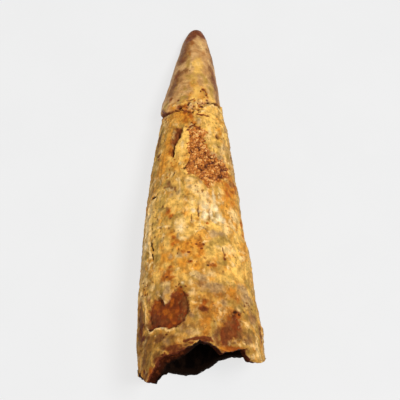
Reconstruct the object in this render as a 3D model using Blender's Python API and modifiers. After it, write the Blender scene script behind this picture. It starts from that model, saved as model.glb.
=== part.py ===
"""Fossil pterosaur tooth, lying on its side.

One solid: a bluntly pointed cone with a slightly oval section, a ring-shaped scar where it was once
broken through, and a hollow root that ends in a ragged break.  The tip points along +Y, +Z is up, and
the tooth rests on small worn flats under the tip and under the root.  Run it with

    blender --background --python part.py
"""

import math

import bpy
from mathutils import Matrix, Vector

# Driving dimensions, in metres.
LENGTH = 0.0450  # apex to the furthest point of the broken root
WIDTH = 0.0136  # across the root's end
FLATNESS = 0.80  # height of a section over its width
TAPER_POWER = 0.562  # half width grows as this power of the distance from the apex
BLUNTNESS = 0.00025  # the taper starts this far beyond the apex, so the tip is blunt
APEX_ROUND = 0.0005  # length over which the blunt tip is rounded off
APEX_HEIGHT = 0.0006  # height of the apex over the floor
ARCH = 1.10  # how far the axis bows upwards between the tip and the root
SIDE_BEND = 0.0016  # sideways drift of the axis at the root
BEND_START = 0.41  # share of the length where that drift begins
BEND_POWER = 1.8

# The pulp cavity: a narrowing hollow that opens at the root.
WALL = 0.00125  # thickness of the root's wall at its end
CAVITY_END = 0.0220  # distance from the apex to the blind end of the cavity
CAVITY_POWER = 0.75

# The scar of the old break: a V-shaped groove that runs aslant round the crown.
SCAR_PLACE = 0.0126  # distance from the apex
SCAR_HALF_WIDTH = 0.00035
SCAR_DEPTH = 0.00018
SCAR_SLANT = 0.0007  # the groove is this much nearer the tip on the +X side
SCAR_REACH = 0.0030  # length over which the sections lean with the groove
MENDED_STEP = 0.00028  # the mended tip sits this far towards -X at the scar
MENDED_LEAN = 0.00012  # and its apex this far towards +X

# Shallow pockets where the surface has flaked away: distance from the apex, angle round the axis
# from +X towards +Z in degrees, half length, half breadth and depth.
POCKETS = (
    (0.0380, 122, 0.0026, 0.0030, 0.00034),
    (0.0400, 62, 0.0022, 0.0017, 0.00022),
    (0.0205, 66, 0.0036, 0.0019, 0.00032),
    (0.0300, 262, 0.0040, 0.0028, 0.00030),
)

# The ragged end of the root: angle round the axis in degrees, and how far the wall stops short of
# the tooth's full length there, in millimetres.
BREAK_LINE_MM = (
    (0, 3.5),
    (30, 2.4),
    (44, 2.7),
    (48, 3.4),
    (60, 3.0),
    (73, 2.6),
    (79, 3.2),
    (84, 4.0),
    (100, 3.8),
    (118, 3.0),
    (130, 2.3),
    (140, 1.0),
    (147, 0.0),
    (159, 1.2),
    (180, 1.9),
    (214, 1.9),
    (225, 2.7),
    (236, 3.2),
    (266, 3.3),
    (287, 4.7),
    (300, 5.0),
    (320, 4.7),
    (338, 3.8),
    (360, 3.5),
)
BREAK_REACH = 0.0130  # length of root over which the sections follow the break
RAGGED_POWER = 1.5

# The worn flats that it rests on.
WORN_DEPTH = 0.00018

# Meshing.
SIDES = 56
TIP_SHARE = 0.67  # share of the mended tip over which the rings crowd towards the apex
TIP_RINGS = 9
CROWN_RINGS = 5
ROOT_RINGS = 19
WALL_RINGS = 2
CAVITY_RINGS = 12
CAVITY_CROWDING = 1.4  # power by which the cavity's rings crowd towards its blind end
MERGE_DISTANCE = 0.00001

DENTINE_COLOUR = (0.56, 0.31, 0.11, 1.0)
DENTINE_ROUGHNESS = 0.62


def clear_scene():
    """Remove whatever the startup file holds."""
    for obj in list(bpy.data.objects):
        bpy.data.objects.remove(obj)


def spaced(first, last, count):
    """Return count + 1 evenly spaced values from first to last."""
    return [first + (last - first) * step / count for step in range(count + 1)]


def crown_radius(distance):
    """Half width of the tooth at a distance from the apex."""
    taper = ((distance + BLUNTNESS) / (LENGTH + BLUNTNESS)) ** TAPER_POWER
    flat_part = max(0.0, 1 - distance / APEX_ROUND)
    return WIDTH / 2 * taper * math.sqrt(1 - flat_part**2)


def cavity_radius(distance):
    """Half width of the pulp cavity at a distance from the apex."""
    share = (distance - CAVITY_END) / (LENGTH - CAVITY_END)
    return (WIDTH / 2 - WALL) * share**CAVITY_POWER


def turned_profile():
    """Return (radius, distance from apex) from the apex down the outside, over the rim and up the cavity."""
    scar_start = SCAR_PLACE - SCAR_HALF_WIDTH
    scar_end = SCAR_PLACE + SCAR_HALF_WIDTH
    tip = [TIP_SHARE * scar_start * share**2 for share in spaced(0, 1, TIP_RINGS)]
    crown = spaced(tip[-1], scar_start, CROWN_RINGS)[1:]
    root = spaced(scar_end, LENGTH, ROOT_RINGS)
    outside = [(crown_radius(distance), distance) for distance in tip + crown]
    outside.append((crown_radius(SCAR_PLACE) - SCAR_DEPTH, SCAR_PLACE))
    outside += [(crown_radius(distance), distance) for distance in root]

    inner_edge = cavity_radius(LENGTH)
    rim = [(radius, LENGTH) for radius in spaced(WIDTH / 2, inner_edge, WALL_RINGS)[1:-1]]
    shares = [share**CAVITY_CROWDING for share in spaced(1, 0, CAVITY_RINGS)]
    depths = [CAVITY_END + (LENGTH - CAVITY_END) * share for share in shares]
    return outside + rim + [(cavity_radius(distance), distance) for distance in depths]


def turned_blank():
    """Turn the profile about the Y axis and return the mesh, with the apex at y = 0 and the root at -Y."""
    points = [(radius, -distance, 0.0) for radius, distance in turned_profile()]
    edges = [(index, index + 1) for index in range(len(points) - 1)]
    profile = bpy.data.meshes.new("tooth_profile")
    profile.from_pydata(points, edges, [])
    blank = bpy.data.objects.new("tooth_blank", profile)
    bpy.context.collection.objects.link(blank)

    screw = blank.modifiers.new("turn", "SCREW")
    screw.axis = "Y"
    screw.steps = SIDES
    screw.render_steps = SIDES
    screw.use_merge_vertices = True
    screw.merge_threshold = MERGE_DISTANCE
    bpy.context.view_layer.update()

    evaluated = blank.evaluated_get(bpy.context.evaluated_depsgraph_get())
    mesh = bpy.data.meshes.new_from_object(evaluated)
    bpy.data.objects.remove(blank)
    return mesh


def axis_height(along):
    """Height of the tooth's axis over the floor at a share of its length."""
    rise = along + ARCH * along * (1 - along)
    return APEX_HEIGHT + (WIDTH * FLATNESS / 2 - APEX_HEIGHT) * rise


def side_bend(along):
    """Sideways drift of the tooth's axis at a share of its length."""
    return SIDE_BEND * max(0.0, (along - BEND_START) / (1 - BEND_START)) ** BEND_POWER


def mended_offset(distance):
    """Sideways offset of the mended tip at a distance from the apex."""
    share = distance / SCAR_PLACE
    return MENDED_LEAN * (1 - share) - MENDED_STEP * share if share < 1 else 0.0


def break_setback(angle):
    """How far the wall stops short of the full length at an angle in degrees round the axis."""
    for (start, low), (end, high) in zip(BREAK_LINE_MM, BREAK_LINE_MM[1:]):
        if angle <= end:
            return (low + (high - low) * (angle - start) / (end - start)) / 1000
    return BREAK_LINE_MM[-1][1] / 1000


def pocket_depth(distance, angle, radius):
    """Depth of the flaked pockets at a place on the outside."""
    depth = 0.0
    for place, middle, half_length, half_breadth, deepest in POCKETS:
        turn = (angle - middle + 180) % 360 - 180
        lengthwise = (distance - place) / half_length
        crosswise = math.radians(turn) * radius / half_breadth
        depth += deepest * math.exp(-((lengthwise**2 + crosswise**2) ** 2))
    return depth


def is_outside(distance, radius):
    """Whether a point of the turned blank is on the outside and not on the cavity's wall."""
    if distance <= CAVITY_END:
        return True
    return radius > (crown_radius(distance) + cavity_radius(distance)) / 2


def natural_place(point):
    """Return where a point of the turned blank lies on the real tooth."""
    distance = -point.y
    radius = math.hypot(point.x, point.z)
    angle = math.degrees(math.atan2(point.z, point.x)) % 360
    turn = math.radians(angle)
    if is_outside(distance, radius):
        radius -= pocket_depth(distance, angle, radius)

    lean = SCAR_SLANT * math.cos(turn) * math.exp(-(((distance - SCAR_PLACE) / SCAR_REACH) ** 2))
    ragged = 1 - (LENGTH - distance) / BREAK_REACH
    setback = break_setback(angle) * max(0.0, ragged) ** RAGGED_POWER
    shift = lean + setback

    # The sections keep the width and the height of the place that they have moved to.
    along = (distance - shift) / LENGTH
    if distance > SCAR_PLACE + SCAR_REACH:
        radius *= crown_radius(distance - shift) / crown_radius(distance)
    return Vector(
        (
            radius * math.cos(turn) + side_bend(along) + mended_offset(distance),
            shift - distance,
            radius * math.sin(turn) * FLATNESS + axis_height(along),
        )
    )


def shape_tooth(mesh):
    """Turn the blank into the real tooth: oval, arched, bent, flaked, mended and broken off at the root."""
    for vertex in mesh.vertices:
        vertex.co = natural_place(vertex.co)


def lowest_point(mesh, side):
    """Return the lowest point on the tip's side (1) or on the root's side (-1) of the tooth's middle."""
    middle = -LENGTH / 2
    points = [vertex.co for vertex in mesh.vertices if side * (vertex.co.y - middle) > 0]
    return min(points, key=lambda point: point.z).copy()


def settle_on_floor(mesh):
    """Lay the mesh down on its tip and its root, wear flats where it touches, and centre it."""
    under_tip = lowest_point(mesh, 1)
    under_root = lowest_point(mesh, -1)
    tilt = math.atan2(under_tip.z - under_root.z, under_tip.y - under_root.y)
    mesh.transform(Matrix.Rotation(-tilt, 4, "X"))
    lowest = min(vertex.co.z for vertex in mesh.vertices)
    mesh.transform(Matrix.Translation((0, 0, -lowest - WORN_DEPTH)))
    for vertex in mesh.vertices:
        vertex.co.z = max(0.0, vertex.co.z)

    for axis in (0, 1):
        places = [vertex.co[axis] for vertex in mesh.vertices]
        middle = (min(places) + max(places)) / 2
        for vertex in mesh.vertices:
            vertex.co[axis] -= middle


def dentine():
    """Return the mineral finish of the tooth."""
    material = bpy.data.materials.new("fossil_dentine")
    material.use_nodes = True
    shader = material.node_tree.nodes["Principled BSDF"]
    shader.inputs["Base Color"].default_value = DENTINE_COLOUR
    shader.inputs["Roughness"].default_value = DENTINE_ROUGHNESS
    shader.inputs["Metallic"].default_value = 0.0
    return material


def main():
    """Build the tooth in a collection of its own."""
    clear_scene()
    mesh = turned_blank()
    mesh.name = "tooth"
    shape_tooth(mesh)
    settle_on_floor(mesh)
    mesh.shade_smooth()
    mesh.materials.append(dentine())

    tooth = bpy.data.objects.new("tooth", mesh)
    fossil = bpy.data.collections.new("fossil_pterosaur_tooth")
    bpy.context.scene.collection.children.link(fossil)
    fossil.objects.link(tooth)


main()
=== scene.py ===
"""Looks of a fossil pterosaur tooth that lies on its side on a pale floor.

The tooth is grown as one straight blank, ring by ring, and remeshed into a fine skin.  While it is
straight it is worn, flaked, cracked and pitted.  Then it is bent, mended and broken off as the real one
is, and laid down in the frame.  Sand grains of the rock that it lay in are set on it as a second piece.

A place on the tooth is told by two numbers: along, the distance from the tip in millimetres, and turn,
the angle round the axis in degrees, with 0 on the +X side, 90 on top and 180 on the -X side.  The tooth
is worked at one unit to a millimetre and is brought down to metres at the end.
"""

import logging
import math
from copy import copy
from dataclasses import dataclass, field, fields
from enum import Enum

import bpy
import numpy as np
from mathutils import Euler, Matrix, Vector, noise


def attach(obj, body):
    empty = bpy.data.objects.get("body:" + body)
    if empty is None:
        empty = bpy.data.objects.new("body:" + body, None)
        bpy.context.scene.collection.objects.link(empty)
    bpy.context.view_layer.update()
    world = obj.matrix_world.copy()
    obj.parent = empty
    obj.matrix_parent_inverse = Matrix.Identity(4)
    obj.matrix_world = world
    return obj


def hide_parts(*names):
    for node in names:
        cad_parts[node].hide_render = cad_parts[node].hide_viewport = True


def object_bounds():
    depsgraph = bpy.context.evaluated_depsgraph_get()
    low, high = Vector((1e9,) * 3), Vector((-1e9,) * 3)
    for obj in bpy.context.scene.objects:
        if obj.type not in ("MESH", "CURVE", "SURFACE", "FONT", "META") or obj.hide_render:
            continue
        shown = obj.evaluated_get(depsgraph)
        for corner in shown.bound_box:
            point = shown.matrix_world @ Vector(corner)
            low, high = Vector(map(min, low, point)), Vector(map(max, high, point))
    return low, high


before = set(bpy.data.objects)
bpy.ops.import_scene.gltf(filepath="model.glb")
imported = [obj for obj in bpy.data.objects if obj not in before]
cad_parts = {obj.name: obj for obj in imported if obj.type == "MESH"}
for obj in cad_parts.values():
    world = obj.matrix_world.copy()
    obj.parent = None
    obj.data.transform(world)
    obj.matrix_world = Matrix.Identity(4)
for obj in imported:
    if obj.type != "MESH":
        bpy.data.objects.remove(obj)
CAD_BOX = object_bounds()

MM = 0.001  # a millimetre in the frame's metres
FULL_TURN = 360.0
HUNDREDTHS = 100.0  # hundredths of a millimetre in one
SEED_STRIDE = 7.31  # how far apart in cells the fields of two seeds lie
MARK_MARGIN = 0.5  # how far past a mark's own reach its ragged edge is looked for, in millimetres

Array = np.ndarray
Place = tuple[float, float]  # a place on the tooth: along, turn
Span = tuple[float, float]  # two values of one kind
Window = tuple[float, float, float, float]  # four turns: begins, is full, starts to fade, has ended
Oval = tuple[float, ...]
Colour = tuple[float, float, float]
Stretch = tuple[float, float, float]
Socket = bpy.types.NodeSocket
Masks = dict[str, Array]

log = logging.getLogger("fossil_tooth")


# ---- Small helpers ----


def smooth_step(low: float, high: float, value: Array) -> Array:
    """Rise smoothly from 0 at low to 1 at high.

    Args:
        low: value at which the rise begins.
        high: value at which the rise ends.
        value: the values to be eased.

    Returns:
        The eased shares, from 0 to 1.
    """
    share = np.clip((value - low) / (high - low), 0.0, 1.0)
    return share * share * (3 - 2 * share)


def window(ends: Window, value: Array) -> Array:
    """Rise smoothly from 0 to 1 between the first two ends, and fall again between the last two.

    Args:
        ends: the four ends, in rising order.
        value: the values to be eased.

    Returns:
        The eased shares, from 0 to 1.
    """
    start, full, fading, gone = ends
    return smooth_step(start, full, value) * smooth_step(gone, fading, value)


def draw(chance: np.random.Generator, values: Span) -> float:
    """Draw a value at random: the least one, and the range above it, are given."""
    return values[0] + values[1] * chance.random()


def deselect_all() -> None:
    """Leave object mode's selection empty."""
    bpy.ops.object.select_all(action="DESELECT")


def activate(piece: bpy.types.Object) -> None:
    """Select one object alone and make it the active one.

    Args:
        piece: the object that the next operators act on.
    """
    deselect_all()
    piece.select_set(True)
    bpy.context.view_layer.objects.active = piece


def apply_modifier(piece: bpy.types.Object, kind: str, **settings: object) -> None:
    """Add one modifier to an object and apply it.

    Args:
        piece: the object to change.
        kind: the modifier's type.
        **settings: values of the modifier's own properties.
    """
    activate(piece)
    modifier = piece.modifiers.new(kind.lower(), kind)
    for name, value in settings.items():
        setattr(modifier, name, value)
    bpy.ops.object.modifier_apply(modifier=modifier.name)


def vertex_places(mesh: bpy.types.Mesh) -> Array:
    """Read where a mesh's vertices are.

    Args:
        mesh: the mesh to read.

    Returns:
        One row of x, y and z for each vertex.
    """
    flat = np.empty(len(mesh.vertices) * 3, np.float32)
    mesh.vertices.foreach_get("co", flat)
    return flat.reshape(-1, 3).astype(float)


def move_vertices(mesh: bpy.types.Mesh, places: Array) -> None:
    """Put a mesh's vertices at new places.

    Args:
        mesh: the mesh to change.
        places: one row of x, y and z for each vertex.
    """
    mesh.vertices.foreach_set("co", places.astype(np.float32).ravel())
    mesh.update()


def write_attribute(mesh: bpy.types.Mesh, name: str, values: Array) -> None:
    """Store one number a vertex in a named attribute.

    Args:
        mesh: the mesh that takes the attribute.
        name: the attribute's name.
        values: one number for each vertex.
    """
    attribute = mesh.attributes.new(name, "FLOAT", "POINT")
    attribute.data.foreach_set("value", values.astype(np.float32))


def read_attribute(mesh: bpy.types.Mesh, name: str) -> Array:
    """Read a named vertex attribute.

    Args:
        mesh: the mesh that has the attribute.
        name: the attribute's name.

    Returns:
        One number for each vertex.
    """
    values = np.empty(len(mesh.vertices), np.float32)
    mesh.attributes[name].data.foreach_get("value", values)
    return values.astype(float)


def triangle_count(mesh: bpy.types.Mesh) -> int:
    """Return how many triangles a mesh's faces make."""
    return sum(len(face.vertices) - 2 for face in mesh.polygons)


@dataclass(frozen=True)
class Lumps:
    """A smooth random relief.

    Attributes:
        height: about how high it stands, in millimetres.
        cell: size of its lumps in millimetres, or three sizes, one along each axis.
        layers: how many finer layers it has.
        seed: number that makes one relief differ from another.
    """

    height: float
    cell: float | Stretch
    layers: int
    seed: float

    def over(self, places: Array) -> Array:
        """Work out the relief.

        Args:
            places: rows of x, y and z, in millimetres.

        Returns:
            The relief at each place.
        """
        scaled = (places / np.array(self.cell) + self.seed * SEED_STRIDE).tolist()
        values = [noise.fractal(Vector(place), 1.0, 2.0, self.layers) for place in scaled]
        return self.height * np.array(values)


# ---- The tooth's form ----


@dataclass(frozen=True)
class ToothForm:
    """Driving sizes of the tooth, in millimetres and degrees."""

    length: float = 45.0
    width: float = 13.6
    flatness: float = 0.80
    taper_power: float = 0.562
    bluntness: float = 0.25
    apex_round: float = 0.5
    apex_height: float = 0.6
    arch: float = 1.10
    drift: float = 1.6
    drift_start: float = 0.41
    drift_power: float = 1.8
    wall: float = 1.25
    cavity_end: float = 22.0
    cavity_power: float = 0.75
    mended_step: float = 0.28
    mended_lean: float = 0.12
    break_reach: float = 13.0
    break_power: float = 1.5
    # How the bent tooth lies: turned about X, then moved.
    lie_turn: float = 0.353
    lie_shift: tuple[float, float, float] = (-1.2368, 22.4842, -0.1750)
    # Where the wall stops short of the full length: turn and shortfall.
    break_line: tuple[Place, ...] = (
        (0, 3.5), (30, 2.4), (41, 2.3), (45, 2.9), (47, 3.4), (60, 3.0), (73, 2.6), (79, 3.2),
        (84, 3.5), (88, 3.45), (92, 3.65), (96, 3.35), (101, 3.0), (107, 2.75), (118, 2.6), (130, 2.3),
        (140, 1.0), (147, 0.0), (159, 1.2), (180, 1.9), (214, 1.9), (225, 2.7), (236, 3.2), (266, 3.3),
        (287, 4.7), (300, 5.0), (320, 4.7), (338, 3.8), (360, 3.5),
    )

    def crown_radius(self, distance: Array) -> Array:
        """Find how wide the straight tooth is.

        Args:
            distance: distance from the tip.

        Returns:
            Half its width there.
        """
        taper = (distance + self.bluntness) / (self.length + self.bluntness)
        blunt = np.clip(1 - distance / self.apex_round, 0.0, 1.0)
        return self.width / 2 * np.maximum(taper, 0.0) ** self.taper_power * np.sqrt(1 - blunt**2)

    def cavity_radius(self, distance: Array) -> Array:
        """Half width of the pulp cavity at a distance from the tip, 0 where it has ended."""
        share = (distance - self.cavity_end) / (self.length - self.cavity_end)
        return (self.width / 2 - self.wall) * np.maximum(share, 0.0) ** self.cavity_power

    def axis_height(self, share: Array) -> Array:
        """Height of the axis over the floor at a share of the length."""
        rise = share + self.arch * share * (1 - share)
        return self.apex_height + (self.width * self.flatness / 2 - self.apex_height) * rise

    def side_drift(self, share: Array) -> Array:
        """Sideways drift of the axis at a share of the length."""
        past = np.maximum(0.0, (share - self.drift_start) / (1 - self.drift_start))
        return self.drift * past**self.drift_power

    def shortfall(self, turn: Array) -> Array:
        """How far the broken wall stops short of the full length at a turn."""
        turns, lengths = zip(*self.break_line)
        return np.interp(turn % FULL_TURN, turns, lengths)

    def break_shift(self, distance: Array, turn: Array) -> Array:
        """How far a section is drawn back towards the tip because of the break."""
        near = np.maximum(0.0, 1 - (self.length - distance) / self.break_reach)
        return self.shortfall(turn) * near**self.break_power


# ---- Stains and marks ----


class Tone(Enum):
    """Stains and minerals of the outside, in the order in which they lie on each other."""

    ROCK = "rock"
    BRICK = "brick"
    OCHRE = "ochre"
    GOLD = "gold"
    CREAM = "cream"
    OLIVE = "olive"
    GREY = "grey"
    RUST = "rust"
    UMBER = "umber"
    WINE = "wine"
    WHITE = "white"
    DARK = "dark"


@dataclass(frozen=True)
class Stain:
    """How a tone looks: its colour, a second colour that flecks it, and how sharp its edge is."""

    colour: Colour
    fleck: Colour
    blur: float
    ragged: float


STAINS: dict[Tone, Stain] = {
    Tone.ROCK: Stain((0.58, 0.200, 0.030), (0.38, 0.105, 0.016), 0.30, 1.4),
    Tone.BRICK: Stain((0.245, 0.048, 0.007), (0.165, 0.034, 0.007), 0.24, 1.2),
    Tone.OCHRE: Stain((0.62, 0.230, 0.022), (0.72, 0.31, 0.036), 0.36, 1.2),
    Tone.GOLD: Stain((0.89, 0.510, 0.118), (0.80, 0.44, 0.085), 0.36, 1.2),
    Tone.CREAM: Stain((0.92, 0.600, 0.235), (0.82, 0.50, 0.160), 0.34, 1.2),
    Tone.OLIVE: Stain((0.40, 0.215, 0.036), (0.52, 0.31, 0.065), 0.36, 1.2),
    Tone.GREY: Stain((0.54, 0.33, 0.130), (0.44, 0.25, 0.095), 0.36, 1.2),
    Tone.RUST: Stain((0.45, 0.120, 0.010), (0.35, 0.085, 0.009), 0.30, 1.2),
    Tone.UMBER: Stain((0.215, 0.082, 0.020), (0.30, 0.125, 0.032), 0.32, 1.0),
    Tone.WINE: Stain((0.165, 0.036, 0.008), (0.24, 0.066, 0.014), 0.22, 0.9),
    Tone.WHITE: Stain((1.0, 0.800, 0.480), (0.95, 0.70, 0.36), 0.38, 1.1),
    Tone.DARK: Stain((0.045, 0.010, 0.003), (0.08, 0.020, 0.005), 0.18, 0.6),
}


@dataclass
class Skin:
    """Where every vertex of the blank lies on the tooth.

    Attributes:
        places: rows of x, y and z on the straight blank.
        distance: distance from the tip on the straight blank.
        along: distance from the tip on the broken tooth.
        turn: angle round the axis.
        half_width: half width of the tooth there.
        inward: 0 on the outside, 1 on the cavity's wall.
        wander: two fields that make the edges of marks ragged.
    """

    places: Array
    distance: Array
    along: Array
    turn: Array
    half_width: Array
    inward: Array
    wander: Array = field(init=False)

    SEED = 1795485283
    COARSE = 0.9
    FINE = 0.3
    FINE_SHARE = 0.55

    def __post_init__(self) -> None:
        """Work out the fields that make edges wander, which without a seed would differ each run."""
        noise.seed_set(self.SEED)
        coarse = (self.places / self.COARSE).tolist()
        fine = (self.places / self.FINE).tolist()
        broad = np.array([noise.noise_vector(Vector(place)) for place in coarse])
        narrow = np.array([noise.noise_vector(Vector(place)) for place in fine])
        self.wander = (broad + self.FINE_SHARE * narrow)[:, :2]

    def part(self, rows: Array) -> "Skin":
        """Take some of the skin's vertices.

        Args:
            rows: the numbers of those vertices.

        Returns:
            A skin of those vertices alone.
        """
        part = copy(self)
        for item in fields(self):
            setattr(part, item.name, getattr(self, item.name)[rows])
        return part

    def offsets(self, along: float, turn: float, wander: float) -> tuple[Array, Array]:
        """Return how far each vertex lies from a place, lengthwise and crosswise.

        Args:
            along: distance of the place from the tip.
            turn: angle of the place round the axis.
            wander: how far the ragged edges stray, in millimetres.

        Returns:
            The lengthwise and the crosswise distances, in millimetres.
        """
        swing = (self.turn - turn + 180) % FULL_TURN - 180
        lengthwise = self.along - along + wander * self.wander[:, 1]
        crosswise = np.radians(swing) * self.half_width + wander * self.wander[:, 0]
        return lengthwise, crosswise


@dataclass(frozen=True)
class Blot:
    """An oval stain, pit or bump on the outside.

    Attributes:
        tone: the stain, or None where only the relief counts.
        along: distance of its middle from the tip.
        turn: angle of its middle round the axis.
        half_length: half its size along the tooth.
        half_breadth: half its size across the tooth.
        relief: how far it stands up, or lies below where negative.
        lean: angle by which its long axis leans.
        strength: how fully the stain covers.
        ragged: how far its edge strays, as a share of its half breadth.
    """

    tone: Tone | None
    along: float
    turn: float
    half_length: float
    half_breadth: float
    relief: float = 0.0
    lean: float = 0.0
    strength: float = 1.0
    ragged: float = 0.45

    REACH = 3.0  # how many half sizes out it has faded away
    BROADEST = 0.8  # a larger mark's edge strays no further than this half size's would
    RIM = (0.08, 0.92)  # where its relief's edge begins and ends

    def span(self) -> Place:
        """Return how near the tip and how far from it the mark reaches."""
        reach = self.REACH * max(self.half_length, self.half_breadth) + MARK_MARGIN
        return self.along - reach, self.along + reach

    def cover(self, skin: Skin) -> tuple[Array, Array]:
        """Work out how the mark lies on some skin.

        Args:
            skin: the skin that it may touch.

        Returns:
            Its stain and the share of its relief at each vertex, both half at its edge.
        """
        wander = self.ragged * min(self.half_breadth, self.half_length, self.BROADEST)
        lengthwise, crosswise = skin.offsets(self.along, self.turn, wander)
        cosine = math.cos(math.radians(self.lean))
        sine = math.sin(math.radians(self.lean))
        longer = (lengthwise * cosine + crosswise * sine) / self.half_length
        wider = (crosswise * cosine - lengthwise * sine) / self.half_breadth
        square = longer**2 + wider**2
        return 0.5**square, smooth_step(*self.RIM, 1 / (1 + square**2))


@dataclass(frozen=True)
class Line:
    """A crack, a groove or a narrow ridge that follows a few places.

    Attributes:
        tone, relief, strength: as for a blot.
        places: the places that it runs through, each along and turn.
        half_width: half its width.
        ragged: how far its edge strays, as a share of its half width.
    """

    tone: Tone | None
    places: tuple[Place, ...]
    half_width: float
    relief: float = 0.0
    strength: float = 1.0
    ragged: float = 0.8

    REACH = 4.0  # how many half widths out it has faded away
    RIM = (0.1, 0.9)  # where its relief's edge begins and ends

    def span(self) -> Place:
        """Return how near the tip and how far from it the mark reaches."""
        reach = self.REACH * self.half_width + MARK_MARGIN
        return min(self.places)[0] - reach, max(self.places)[0] + reach

    def cover(self, skin: Skin) -> tuple[Array, Array]:
        """Work out how the mark lies on some skin.

        Args:
            skin: the skin that it may touch.

        Returns:
            Its stain and the share of its relief at each vertex, both half at its edge.
        """
        reach = np.full(len(skin.along), np.inf)
        wander = self.ragged * self.half_width
        for start, end in zip(self.places, self.places[1:]):
            lengthwise, crosswise = skin.offsets(start[0], start[1], wander)
            run = end[0] - start[0]
            span = np.radians(end[1] - start[1]) * skin.half_width
            square = run * run + span * span
            share = np.clip((lengthwise * run + crosswise * span) / square, 0.0, 1.0)
            gap = np.hypot(lengthwise - share * run, crosswise - share * span)
            reach = np.minimum(reach, gap)
        square = (reach / self.half_width) ** 2
        return 0.5**square, smooth_step(*self.RIM, 1 / (1 + square**2))


@dataclass(frozen=True)
class Patch:
    """An area with an outline of its own, such as a flake scar.

    Attributes:
        tone, relief, strength: as for a blot.
        outline: the outline's places, each along and turn.
        slope: width over which its edge rises or falls.
        ragged: how far its edge strays, in millimetres.
        blend: width over which its stain fades.
    """

    tone: Tone | None
    outline: tuple[Place, ...]
    relief: float = 0.0
    slope: float = 0.30
    strength: float = 1.0
    ragged: float = 0.14
    blend: float = 0.35

    REACH = 1.0  # how far past its outline it has faded away
    TINY = 1e-9  # keeps a division by a very short run safe

    def span(self) -> Place:
        """Return how near the tip and how far from it the mark reaches."""
        reach = self.REACH + MARK_MARGIN
        return min(self.outline)[0] - reach, max(self.outline)[0] + reach

    def cover(self, skin: Skin) -> tuple[Array, Array]:
        """Work out how the mark lies on some skin.

        Args:
            skin: the skin that it may touch.

        Returns:
            Its stain and the share of its relief at each vertex, both half at its edge.
        """
        middle = sum(turn for _, turn in self.outline) / len(self.outline)
        lengthwise, crosswise = skin.offsets(0.0, middle, self.ragged)
        inside = np.zeros(len(lengthwise), bool)
        reach = np.full(len(lengthwise), np.inf)
        ends = self.outline[1:] + self.outline[:1]
        for start, end in zip(self.outline, ends):
            start_across = np.radians(start[1] - middle) * skin.half_width
            end_across = np.radians(end[1] - middle) * skin.half_width
            run = end[0] - start[0]
            span = end_across - start_across
            back = lengthwise - start[0]
            side = crosswise - start_across
            square = run * run + span * span + self.TINY
            share = np.clip((back * run + side * span) / square, 0.0, 1.0)
            reach = np.minimum(reach, np.hypot(back - share * run, side - share * span))
            crosses = (start[0] > lengthwise) != (end[0] > lengthwise)
            meeting = start_across + span * (lengthwise - start[0]) / (run or self.TINY)
            inside ^= crosses & (crosswise < meeting)
        signed = np.where(inside, reach, -reach)
        stain = np.clip(0.5 + signed / self.blend / 2, 0.0, 1.0)
        return stain, smooth_step(-self.slope / 2, self.slope / 2, signed)


Mark = Blot | Line | Patch


def blots(tone: Tone | None, strength: float, relief: float, *ovals: Oval) -> list[Mark]:
    """Make several oval marks of one kind.

    Args:
        tone: their stain.
        strength: how fully the stain covers.
        relief: how far they stand up, or lie below where negative.
        *ovals: for each, its place along and turn, its half length and half breadth in hundredths of a
            millimetre, and its lean if it has one.

    Returns:
        One blot for each oval.
    """
    marks = []
    for along, turn, length, breadth, *lean in ovals:
        sizes = (length / HUNDREDTHS, breadth / HUNDREDTHS)
        marks.append(Blot(tone, along, turn, *sizes, relief, *lean, strength=strength))
    return marks


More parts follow.
